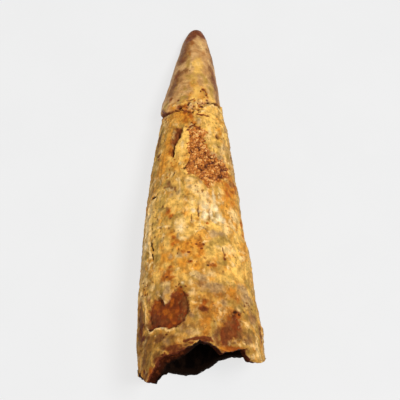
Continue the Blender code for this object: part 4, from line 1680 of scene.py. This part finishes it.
        seam = self.seam.along(skin)
        before = along / seam
        mended = np.where(before < 1, form.mended_lean * (1 - before) - form.mended_step * before, 0.0)
        placed = np.column_stack(
            (
                radius * np.cos(turn) + form.side_drift(share) + mended,
                -along,
                radius * np.sin(turn) * form.flatness + form.axis_height(share),
            )
        )
        cosine = math.cos(math.radians(form.lie_turn))
        sine = math.sin(math.radians(form.lie_turn))
        across, back, height = placed.T
        settled = np.column_stack((across, cosine * back - sine * height, sine * back + cosine * height))
        settled += np.array(form.lie_shift)
        move_vertices(mesh, np.clip(settled, *(np.array(CAD_BOX) / MM)))

    def build(self) -> bpy.types.Object:
        """Model the whole tooth.

        Returns:
            The finished tooth in metres, at the origin, with its masks as attributes.
        """
        tooth = self.grow_blank()
        apply_modifier(tooth, "REMESH", mode="VOXEL", voxel_size=self.voxel)
        mesh = tooth.data
        skin = self.measure_skin(mesh)
        relief, masks = self.weather(skin)
        self.apply_relief(tooth, relief)
        mesh = tooth.data
        self.lay_down(mesh, skin)
        for name, mask in masks.items():
            write_attribute(mesh, name, mask)
        share = self.most_triangles / triangle_count(mesh)
        if share < 1:
            apply_modifier(tooth, "DECIMATE", ratio=share)
        tooth.data.transform(Matrix.Scale(MM, 4))
        move_vertices(tooth.data, np.clip(vertex_places(tooth.data), *CAD_BOX))
        activate(tooth)
        bpy.ops.object.shade_smooth()
        self.dress(tooth.data)
        return tooth

    def dress(self, mesh: bpy.types.Mesh) -> None:
        """Give the outside and the hollow their finishes.

        Args:
            mesh: the finished tooth with its masks.
        """
        mesh.materials.clear()
        mesh.materials.append(DentineFinish().material())
        mesh.materials.append(HollowFinish().material())
        inward = read_attribute(mesh, "inward")
        for face in mesh.polygons:
            face.material_index = int(inward[face.vertices[0]] > self.hollow_from)


@dataclass
class Grains:
    """Sand grains of the rock, set on the tooth wherever grit clings to it."""

    name: str = "sandstone_grains"
    count: int = 4200
    smallest: float = 0.05
    largest: float = 0.16
    sunk: float = 0.50
    stray: float = 0.05
    small_share: float = 2.2
    variants: int = 6
    stretch: Span = (0.7, 1.25)
    uneven: Span = (0.8, 1.2)
    seed: int = 23
    least_grit: float = 0.30
    shade: Span = (0.15, 0.68)
    # How much lighter or darker the grains of each stain are; through these stains they also take the painted
    # shade of the rock's clefts and the painted light of its crests.
    lighter: tuple[tuple[Tone, float], ...] = (
        (Tone.CREAM, 0.5),
        (Tone.OCHRE, 0.2),
        (Tone.WINE, -0.40),
        (Tone.DARK, -0.6),
    )

    def shapes(self, chance: np.random.Generator) -> list[tuple[Array, Array]]:
        """Model a few different grains of half width 1.

        Args:
            chance: the source of their irregular forms.

        Returns:
            For each grain, its vertices and its triangles.
        """
        found = []
        for _ in range(self.variants):
            deselect_all()
            bpy.ops.mesh.primitive_ico_sphere_add(subdivisions=1, radius=1.0)
            grain = bpy.context.object
            stretch = chance.uniform(*self.stretch, 3)
            bpy.ops.object.mode_set(mode="EDIT")
            bpy.ops.transform.resize(value=tuple(stretch))
            bpy.ops.object.mode_set(mode="OBJECT")
            corners = vertex_places(grain.data)
            corners *= chance.uniform(*self.uneven, (len(corners), 1))
            faces = np.array([tuple(face.vertices) for face in grain.data.polygons])
            found.append((corners, faces))
            bpy.data.objects.remove(grain)
        return found

    def build(self, tooth: bpy.types.Object) -> bpy.types.Object:
        """Scatter the grains over the tooth's grit and join them in one mesh.

        Args:
            tooth: the finished tooth with its grit mask.

        Returns:
            The joined grains in metres, at the origin.
        """
        chance = np.random.default_rng(self.seed)
        shapes = self.shapes(chance)
        grit = read_attribute(tooth.data, "grit")
        light = sum(share * read_attribute(tooth.data, tone.value) for tone, share in self.lighter)
        places = vertex_places(tooth.data)
        normals = np.array([tuple(vertex.normal) for vertex in tooth.data.vertices])
        weights = np.where(grit > self.least_grit, grit, 0.0)
        chosen = chance.choice(len(places), self.count, p=weights / weights.sum())

        corners, faces, shades = [], [], []
        start = 0
        for index in chosen:
            shape, triangles = shapes[chance.integers(self.variants)]
            size = self.smallest + (self.largest - self.smallest) * chance.random() ** self.small_share
            turned = np.array(Euler(chance.uniform(0, 2 * math.pi, 3)).to_matrix())
            stray = chance.normal(0, self.stray * MM, 3)
            stray -= normals[index] * (stray @ normals[index])
            middle = places[index] + stray + normals[index] * size * MM * (1 - 2 * self.sunk)
            corners.append(np.clip(shape @ turned.T * size * MM + middle, *CAD_BOX))
            faces.append(triangles + start)
            shades.append(np.full(len(shape), draw(chance, self.shade) + light[index]))
            start += len(shape)

        mesh = bpy.data.meshes.new(self.name)
        mesh.from_pydata(np.concatenate(corners).tolist(), [], np.concatenate(faces).tolist())
        write_attribute(mesh, "shade", np.concatenate(shades))
        mesh.materials.append(SandFinish().material())
        grains = bpy.data.objects.new(self.name, mesh)
        bpy.context.scene.collection.objects.link(grains)
        return grains


# ---- Finishes ----


class Graph:
    """A material's node tree, built up socket by socket."""

    def __init__(self, name: str) -> None:
        """Start an empty material.

        Args:
            name: the material's name.
        """
        self.material = bpy.data.materials.new(name)
        self.material.use_nodes = True
        self.nodes = self.material.node_tree.nodes
        self.links = self.material.node_tree.links
        self.shader = self.nodes["Principled BSDF"]

    def feed(self, socket: Socket, value: object) -> None:
        """Link a socket to another, or set its value.

        Args:
            socket: the input.
            value: another node's output, a number or a colour.
        """
        if isinstance(value, Socket):
            self.links.new(value, socket)
        elif isinstance(value, tuple) and len(value) == 3 and socket.type == "RGBA":
            socket.default_value = (*value, 1.0)
        else:
            socket.default_value = value

    def sum(self, operation: str, first: object, second: object) -> Socket:
        """Reckon with two values.

        Args:
            operation: the Math node's operation, such as ADD.
            first: its first input.
            second: its second input.

        Returns:
            The result.
        """
        node = self.nodes.new("ShaderNodeMath")
        node.operation = operation
        self.feed(node.inputs[0], first)
        self.feed(node.inputs[1], second)
        return node.outputs[0]

    def times(self, first: object, second: object) -> Socket:
        """Return the product of two values."""
        return self.sum("MULTIPLY", first, second)

    def plus(self, first: object, second: object) -> Socket:
        """Return the sum of two values."""
        return self.sum("ADD", first, second)

    def centred(self, value: object, width: float) -> Socket:
        """Return a value from 0 to 1 moved to lie evenly about 0, and scaled to a width."""
        return self.times(self.sum("SUBTRACT", value, 0.5), width)

    def attribute(self, name: str) -> Socket:
        """Read a vertex attribute.

        Args:
            name: the attribute's name.

        Returns:
            Its value.
        """
        node = self.nodes.new("ShaderNodeAttribute")
        node.attribute_name = name
        return node.outputs["Fac"]

    def places(self, stretch: Stretch = (1, 1, 1), shift: float = 0.0) -> Socket:
        """Find places on the piece.

        Args:
            stretch: how far a pattern is drawn out along each axis.
            shift: how far the pattern is moved, so that two patterns differ.

        Returns:
            The places in millimetres.
        """
        source = self.nodes.new("ShaderNodeTexCoord")
        mapping = self.nodes.new("ShaderNodeMapping")
        mapping.inputs["Scale"].default_value = [1 / MM / size for size in stretch]
        mapping.inputs["Location"].default_value = (shift, shift * 1.7, shift * 2.3)
        self.links.new(source.outputs["Object"], mapping.inputs["Vector"])
        return mapping.outputs["Vector"]

    def noise(
        self,
        cell: float,
        detail: float = 3.0,
        stretch: Stretch = (1, 1, 1),
        shift: float = 0.0,
        roughness: float = 0.55,
        distortion: float = 0.0,
    ) -> Socket:
        """Make a noise.

        Args:
            cell: size of its lumps in millimetres.
            detail: how many finer layers it has.
            stretch: how far it is drawn out along each axis.
            shift: how far it is moved.
            roughness: how strong the finer layers are.
            distortion: how far the pattern is swirled.

        Returns:
            The noise, from 0 to 1.
        """
        node = self.nodes.new("ShaderNodeTexNoise")
        self.links.new(self.places(stretch, shift), node.inputs["Vector"])
        node.inputs["Scale"].default_value = 1 / cell
        node.inputs["Detail"].default_value = detail
        node.inputs["Roughness"].default_value = roughness
        node.inputs["Distortion"].default_value = distortion
        return node.outputs["Fac"]

    def cells(self, cell: float, shift: float = 0.0) -> Socket:
        """Make a pattern of scattered points.

        Args:
            cell: how far apart the points lie in millimetres.
            shift: how far the pattern is moved.

        Returns:
            The distance to the nearest point.
        """
        node = self.nodes.new("ShaderNodeTexVoronoi")
        self.links.new(self.places(shift=shift), node.inputs["Vector"])
        node.inputs["Scale"].default_value = 1 / cell
        return node.outputs["Distance"]

    def step(self, value: object, low: float, high: float, start: float = 0.0, end: float = 1.0) -> Socket:
        """Let a value lead a smooth rise or fall.

        Args:
            value: the input.
            low: value at which the rise begins.
            high: value at which it ends.
            start: result at low.
            end: result at high.

        Returns:
            The eased result.
        """
        node = self.nodes.new("ShaderNodeMapRange")
        node.interpolation_type = "SMOOTHSTEP"
        self.feed(node.inputs["Value"], value)
        node.inputs["From Min"].default_value = low
        node.inputs["From Max"].default_value = high
        node.inputs["To Min"].default_value = start
        node.inputs["To Max"].default_value = end
        return node.outputs["Result"]

    def mix(self, share: object, first: object, second: object, blend: str = "MIX") -> Socket:
        """Mix two colours.

        Args:
            share: how much of the second colour there is.
            first: the colour at share 0.
            second: the colour at share 1.
            blend: how the two are blended.

        Returns:
            The mixed colour.
        """
        node = self.nodes.new("ShaderNodeMix")
        node.data_type = "RGBA"
        node.blend_type = blend
        self.feed(node.inputs["Factor"], share)
        self.feed(node.inputs[6], first)
        self.feed(node.inputs[7], second)
        return node.outputs[2]

    def bump(self, height: Socket, depth: float, strength: float) -> None:
        """Make the surface finely uneven.

        Args:
            height: the unevenness, from 0 to 1.
            depth: how deep it is in millimetres.
            strength: how strongly it shows.
        """
        node = self.nodes.new("ShaderNodeBump")
        node.inputs["Strength"].default_value = strength
        node.inputs["Distance"].default_value = depth * MM
        self.links.new(height, node.inputs["Height"])
        self.feed(self.shader.inputs["Normal"], node.outputs["Normal"])

    def finish(self, colour: object, roughness: object, specular: float) -> bpy.types.Material:
        """Set the surface's colour and shine.

        Args:
            colour: the base colour.
            roughness: the roughness.
            specular: the specular level, the same all over.

        Returns:
            The finished material.
        """
        self.feed(self.shader.inputs["Base Color"], colour)
        self.feed(self.shader.inputs["Roughness"], roughness)
        self.shader.inputs["Specular IOR Level"].default_value = specular
        return self.material


# How far patterns are drawn out along the tooth.
LONG: Stretch = (1.0, 1.6, 1.0)
LONGISH: Stretch = (1.0, 1.3, 1.0)


@dataclass(frozen=True)
class DentineFinish:
    """Weathered fossil dentine and enamel, stained by the rock that it lay in."""

    name: str = "fossil_dentine"
    tan: Colour = (0.58, 0.295, 0.056)
    gold: Colour = (0.86, 0.490, 0.105)
    olive: Colour = (0.44, 0.255, 0.050)
    orange: Colour = (0.64, 0.260, 0.028)
    cream: Colour = (0.90, 0.620, 0.260)
    umber: Colour = (0.18, 0.070, 0.016)
    tip_tan: Colour = (0.52, 0.255, 0.080)
    tip_light: Colour = (0.66, 0.37, 0.140)
    tip_brown: Colour = (0.38, 0.185, 0.060)
    # Painted light and shade of the broken end: its lit outer edge, its lit face, its shaded face, and the
    # shade at the underside's end.
    break_edge: Colour = (0.16, 0.038, 0.008)
    break_lit: Colour = (0.080, 0.012, 0.002)
    break_dark: Colour = (0.030, 0.006, 0.002)
    soot: Colour = (0.013, 0.006, 0.003)
    # Painted shade: the tint that darkens the root towards its end.
    root_shade: Colour = (0.66, 0.55, 0.45)
    grain: tuple[float, float] = (0.73, 1.24)
    tip_grain: float = 0.45
    pore_strength: float = 0.45
    break_ragged: float = 0.35
    enamel_roughness: float = 0.42
    dentine_roughness: float = 0.62
    rock_roughness: float = 0.85
    specular: float = 0.10

    def crown(self, graph: Graph) -> Socket:
        """Colour the plain surface of crown and root, under all stains.

        Args:
            graph: the material's nodes.

        Returns:
            Mottled tan and gold with orange, olive and cream clouds, and dark crumbs and scratches.
        """
        golden = graph.step(graph.noise(2.4, 4, LONG, 1.0, 0.5, 0.8), 0.42, 0.58)
        base = graph.mix(golden, self.tan, self.gold)
        orange = graph.step(graph.noise(2.0, 4, LONG, 5.0, 0.55, 1.0), 0.50, 0.62, 0.0, 0.75)
        base = graph.mix(orange, base, self.orange)
        olive = graph.step(graph.noise(1.7, 4, LONG, 3.0, 0.55, 1.0), 0.52, 0.65, 0.0, 0.80)
        base = graph.mix(olive, base, self.olive)
        cream = graph.step(graph.noise(0.90, 4, LONGISH, 7.0, 0.58, 0.6), 0.53, 0.66, 0.0, 0.75)
        base = graph.mix(cream, base, self.cream)
        crowd = graph.step(graph.noise(2.3, 3, shift=9.0, distortion=0.8), 0.44, 0.58)
        crumbs = graph.step(graph.noise(0.50, 3, (1, 1.2, 1), 11.0, 0.60), 0.56, 0.68, 0.0, 0.6)
        base = graph.mix(graph.times(crumbs, crowd), base, self.umber)
        scratch = graph.step(graph.noise(0.20, 3, (1, 6, 1), 47.0), 0.62, 0.74, 0.0, 0.45)
        return graph.mix(graph.times(scratch, crowd), base, self.umber)

    def mended_tip(self, graph: Graph) -> Socket:
        """Colour the plain surface of the mended tip, under all stains.

        Args:
            graph: the material's nodes.

        Returns:
            Smooth tan, faintly clouded with brown.
        """
        light = graph.step(graph.noise(1.3, 4, LONGISH, 13.0, 0.55, 0.8), 0.42, 0.60)
        brown = graph.step(graph.noise(0.8, 5, shift=15.0, distortion=0.6), 0.52, 0.68, 0.0, 0.6)
        return graph.mix(brown, graph.mix(light, self.tip_tan, self.tip_light), self.tip_brown)

    def stained(self, graph: Graph, colour: Socket) -> Socket:
        """Lay every stain over the ground, then darken the root with painted shade.

        Args:
            graph: the material's nodes.
            colour: the colour of the plain surface.

        Returns:
            The stained colour.
        """
        edge = graph.noise(0.70, 5, (1, 1.4, 1), 17.0, 0.62, 0.4)
        fleck = graph.step(graph.noise(0.45, 4, LONGISH, 19.0, 0.6), 0.38, 0.64)
        for tone, stain in STAINS.items():
            mask = graph.attribute(tone.value)
            reach = graph.plus(mask, graph.centred(edge, stain.ragged))
            present = graph.step(mask, 0.06, 0.30)
            cover = graph.times(graph.step(reach, 0.5 - stain.blur, 0.5 + stain.blur), present)
            colour = graph.mix(cover, colour, graph.mix(fleck, stain.colour, stain.fleck))
        # Painted shade that darkens the root.
        root_shading = graph.times(graph.attribute("root_shade"), graph.step(edge, 0.30, 0.60, 1.0, 0.72))
        return graph.mix(root_shading, colour, self.root_shade, "MULTIPLY")

    def speckled(self, graph: Graph, colour: Socket) -> Socket:
        """Add fine grain everywhere, and pores away from smooth enamel.

        Args:
            graph: the material's nodes.
            colour: the stained colour.

        Returns:
            The speckled colour.
        """
        grain = graph.step(graph.noise(0.44, 3, LONGISH, 29.0, 0.60), 0.34, 0.66, *self.grain)
        rough = graph.step(graph.attribute("tip"), 0.3, 0.8, 1.0, self.tip_grain)
        colour = graph.mix(rough, colour, grain, "MULTIPLY")
        specks = graph.step(graph.cells(0.50, 31.0), 0.10, 0.20, 1.0, 0.0)
        some = graph.step(graph.noise(1.1, 2, shift=37.0), 0.50, 0.60)
        plain = graph.step(graph.attribute("polish"), 0.2, 0.6, 1.0, 0.0)
        pores = graph.times(graph.times(specks, some), plain)
        return graph.mix(graph.times(pores, self.pore_strength), colour, self.umber)

    def broken(self, graph: Graph, colour: Socket) -> Socket:
        """Colour the outer edge of the broken wall, with painted light where it is lit, and painted shade
        inward, where it is shaded and at the underside's end.

        Args:
            graph: the material's nodes.
            colour: the colour of the outside.

        Returns:
            The colour of outside and break together.
        """
        ragged = graph.centred(graph.noise(0.4, 4, shift=23.0), self.break_ragged)
        inward = graph.plus(graph.attribute("inward"), ragged)
        face = graph.mix(graph.step(inward, 0.07, 0.17), self.break_edge, self.break_lit)
        face = graph.mix(graph.step(inward, 0.18, 0.46), face, self.break_dark)
        face = graph.mix(graph.attribute("shaded"), face, self.break_dark)
        colour = graph.mix(graph.step(inward, 0.02, 0.12), colour, face)
        return graph.mix(graph.attribute("underside_shade"), colour, self.soot)

    def roughness(self, graph: Graph) -> Socket:
        """Work out how dull the surface is: enamel shines a little, and rock doesn't.

        Args:
            graph: the material's nodes.

        Returns:
            The roughness.
        """
        plain = self.dentine_roughness
        smooth = graph.step(graph.attribute("polish"), 0.2, 0.9, plain, self.enamel_roughness)
        rock = graph.step(graph.attribute("grit"), 0.2, 0.7, 0.0, self.rock_roughness - plain)
        rough = graph.plus(smooth, rock)
        return graph.plus(rough, graph.step(graph.noise(0.5, 4, shift=41.0), 0.3, 0.7, -0.08, 0.10))

    def material(self) -> bpy.types.Material:
        """Make the material.

        Returns:
            The finished material.
        """
        graph = Graph(self.name)
        tip = graph.step(graph.attribute("tip"), 0.3, 0.8)
        ground = graph.mix(tip, self.crown(graph), self.mended_tip(graph))
        colour = self.broken(graph, self.speckled(graph, self.stained(graph, ground)))
        fine = graph.noise(0.16, 5, (1, 2.2, 1), 43.0, 0.68)
        depth = graph.step(graph.attribute("polish"), 0.2, 0.9, 1.0, 0.12)
        graph.bump(graph.times(fine, depth), 0.09, 0.75)
        return graph.finish(colour, self.roughness(graph), self.specular)


@dataclass(frozen=True)
class HollowFinish:
    """The inner wall and the pulp cavity: dull, and painted nearly black as shade."""

    name: str = "pulp_cavity"
    wall: Colour = (0.030, 0.006, 0.002)
    wall_light: Colour = (0.10, 0.022, 0.005)
    roof: Colour = (0.035, 0.014, 0.006)
    roof_light: Colour = (0.100, 0.045, 0.019)
    # Painted shade: the shaded lip and the cavity's floor, nearly black.
    lip: Colour = (0.008, 0.0036, 0.0020)
    floor: Colour = (0.0022, 0.0011, 0.0009)
    floor_light: Colour = (0.0120, 0.0055, 0.0030)
    roughness: float = 0.9
    specular: float = 0.02

    def wall_colour(self, graph: Graph) -> Socket:
        """Colour the broken wall, lumpy and dark red-brown.

        Args:
            graph: the material's nodes.

        Returns:
            The wall's colour.
        """
        lumps = graph.step(graph.noise(0.45, 5, shift=2.0, roughness=0.65), 0.48, 0.66)
        return graph.mix(lumps, self.wall, self.wall_light)

    def lining_colour(self, graph: Graph, inward: Socket) -> Socket:
        """Colour the cavity with painted shade, nearly black, a little lighter on its roof and at its shaded
        lip.

        Args:
            graph: the material's nodes.
            inward: 1 where the break has become the cavity.

        Returns:
            The lining's colour.
        """
        depth = graph.attribute("depth")
        film = graph.step(graph.noise(0.9, 5, (1, 2, 1), 12.0, 0.65), 0.40, 0.66)
        floor = graph.mix(film, self.floor, self.floor_light)
        roof = graph.mix(film, self.roof, self.roof_light)
        roofed = graph.times(graph.attribute("roof"), graph.step(depth, 0.06, 0.15))
        lining = graph.mix(graph.times(roofed, inward), floor, roof)
        lip = graph.times(graph.step(depth, 0.03, 0.09, 1.0, 0.0), graph.attribute("shaded"))
        return graph.mix(lip, lining, self.lip)

    def material(self) -> bpy.types.Material:
        """Make the material.

        Returns:
            The finished material.
        """
        graph = Graph(self.name)
        stray = graph.centred(graph.noise(0.6, 3, shift=4.0), 0.06)
        deep = graph.step(graph.plus(graph.attribute("depth"), stray), 0.0, 0.035)
        inward = graph.step(graph.attribute("inward"), 0.45, 0.95)
        hidden = graph.sum("MAXIMUM", graph.attribute("shaded"), graph.sum("MAXIMUM", deep, inward))
        colour = graph.mix(hidden, self.wall_colour(graph), self.lining_colour(graph, inward))
        graph.bump(graph.noise(0.3, 4, shift=6.0), 0.08, 0.8)
        return graph.finish(colour, self.roughness, self.specular)


@dataclass(frozen=True)
class SandFinish:
    """Rust-red quartz sand, a little glassy, each grain in a shade of its own."""

    name: str = "sandstone_matrix"
    dark: Colour = (0.12, 0.026, 0.006)
    red: Colour = (0.42, 0.125, 0.020)
    orange: Colour = (0.62, 0.215, 0.030)
    light: Colour = (0.90, 0.48, 0.140)
    roughness: float = 0.45
    specular: float = 0.28

    def material(self) -> bpy.types.Material:
        """Make the material.

        Returns:
            The finished material.
        """
        graph = Graph(self.name)
        drift = graph.step(graph.noise(0.9, 4, shift=7.0, distortion=0.6), 0.35, 0.65, -0.22, 0.22)
        shade = graph.plus(graph.attribute("shade"), drift)
        colour = graph.mix(graph.step(shade, 0.02, 0.34), self.dark, self.red)
        colour = graph.mix(graph.step(shade, 0.36, 0.66), colour, self.orange)
        colour = graph.mix(graph.step(shade, 0.78, 1.0), colour, self.light)
        film = graph.step(graph.noise(0.12, 4, shift=3.0), 0.3, 0.7, 0.70, 1.15)
        colour = graph.mix(1.0, colour, film, "MULTIPLY")
        shiny = self.roughness - 0.12
        dull = self.roughness + 0.2
        graph.bump(graph.noise(0.05, 3, shift=9.0), 0.02, 0.5)
        rough = graph.step(graph.noise(0.2, 3, shift=5.0), 0.3, 0.7, shiny, dull)
        return graph.finish(colour, rough, self.specular)


@dataclass(frozen=True)
class PaperFinish:
    """Matt pale paper for the floor, faintly mottled."""

    name: str = "pale_paper"
    colour: float = 0.12
    glow: float = 0.727
    mottle: float = 0.004
    roughness: float = 0.9
    specular: float = 0.0

    def material(self) -> bpy.types.Material:
        """Make the material.

        Returns:
            The finished material.
        """
        graph = Graph(self.name)
        tint = graph.step(graph.noise(9.0, 3), 0.3, 0.7, self.colour - self.mottle, self.colour + self.mottle)
        graph.shader.inputs["Emission Color"].default_value = (1.0, 1.0, 1.0, 1.0)
        graph.shader.inputs["Emission Strength"].default_value = self.glow
        return graph.finish(tint, self.roughness, self.specular)


# ---- The studio ----


@dataclass(frozen=True)
class Lamp:
    """A soft square lamp that looks at the tooth.

    Attributes:
        name: the lamp's name.
        direction: where it stands, seen from the tooth.
        distance: how far off it stands, in metres.
        size: length of its side, in metres.
        brightness: share of full daylight that it gives, 1 for a white that is just white.
    """

    name: str
    direction: tuple[float, float, float]
    distance: float
    size: float
    brightness: float

    def hang(self, target: Vector) -> None:
        """Put the lamp up.

        Args:
            target: the point that it looks at.
        """
        way = Vector(self.direction).normalized()
        place = target + way * self.distance
        turned = (-way).to_track_quat("-Z", "Y").to_euler()
        bpy.ops.object.light_add(type="AREA", location=place, rotation=turned)
        lamp = bpy.context.object
        lamp.name = self.name
        lamp.data.shape = "SQUARE"
        lamp.data.size = self.size
        lamp.data.energy = self.brightness * math.pi**2 * self.distance**2


@dataclass
class Studio:
    """Camera, floor, sky and lamps."""

    elevation: float = 64.716
    roll: float = 0.01599
    distance: float = 0.1301
    lens: float = 110.0
    sensor: float = 36.0
    target: tuple[float, float, float] = (-0.0004219, -0.0010555, 0.00365)
    floor_size: float = 4.0
    sky: float = 0.28
    lamps: tuple[Lamp, ...] = (
        Lamp("key", (0.40, -0.20, 0.95), 0.40, 0.13, 0.90),
        Lamp("fill", (-0.70, -0.40, 0.70), 0.45, 0.40, 0.20),
    )

    def build(self) -> None:
        """Set up everything round the tooth."""
        self.place_camera()
        self.lay_floor()
        self.light_sky()
        for lamp in self.lamps:
            lamp.hang(Vector(self.target))
        bpy.context.scene.view_settings.view_transform = "Standard"

    def place_camera(self) -> None:
        """Stand the camera over the root, looking down along the tooth."""
        rise = math.radians(self.elevation)
        forward = Vector((0.0, math.cos(rise), -math.sin(rise)))
        upright = Vector((0.0, math.sin(rise), math.cos(rise)))
        level = Vector((1.0, 0.0, 0.0))
        right = level * math.cos(self.roll) + upright * math.sin(self.roll)
        up = upright * math.cos(self.roll) - level * math.sin(self.roll)
        place = Vector(self.target) - forward * self.distance
        turned = Matrix((right, up, -forward)).transposed().to_euler()
        bpy.ops.object.camera_add(location=place, rotation=turned)
        camera = bpy.context.object
        camera.name = "camera"
        camera.data.lens = self.lens
        camera.data.sensor_width = self.sensor
        camera.data.clip_start = 0.005
        camera.data.clip_end = 20.0
        bpy.context.scene.camera = camera

    def lay_floor(self) -> None:
        """Lay a large pale floor under the tooth."""
        bpy.ops.mesh.primitive_plane_add(size=self.floor_size, location=(0, 0, 0))
        floor = bpy.context.object
        floor.name = "floor"
        floor.data.materials.append(PaperFinish().material())

    def light_sky(self) -> None:
        """Give the scene an even pale sky."""
        world = bpy.data.worlds.new("sky")
        world.use_nodes = True
        background = world.node_tree.nodes["Background"]
        background.inputs["Color"].default_value = (0.97, 0.985, 1.0, 1.0)
        background.inputs["Strength"].default_value = self.sky
        bpy.context.scene.world = world


def dress_frame() -> None:
    """Build the tooth and its grains, and tie them to the frame."""
    tooth = Tooth().build()
    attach(tooth, "root")
    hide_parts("tooth")
    log.info("%s: %d triangles", tooth.name, triangle_count(tooth.data))
    grains = Grains().build(tooth)
    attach(grains, "root")
    log.info("%s: %d triangles", grains.name, triangle_count(grains.data))


def main() -> None:
    """Build the studio and the tooth, and report each piece."""
    logging.basicConfig(level=logging.INFO, format="%(name)s: %(message)s")
    deselect_all()
    Studio().build()
    dress_frame()


if __name__ == "__main__":
    main()
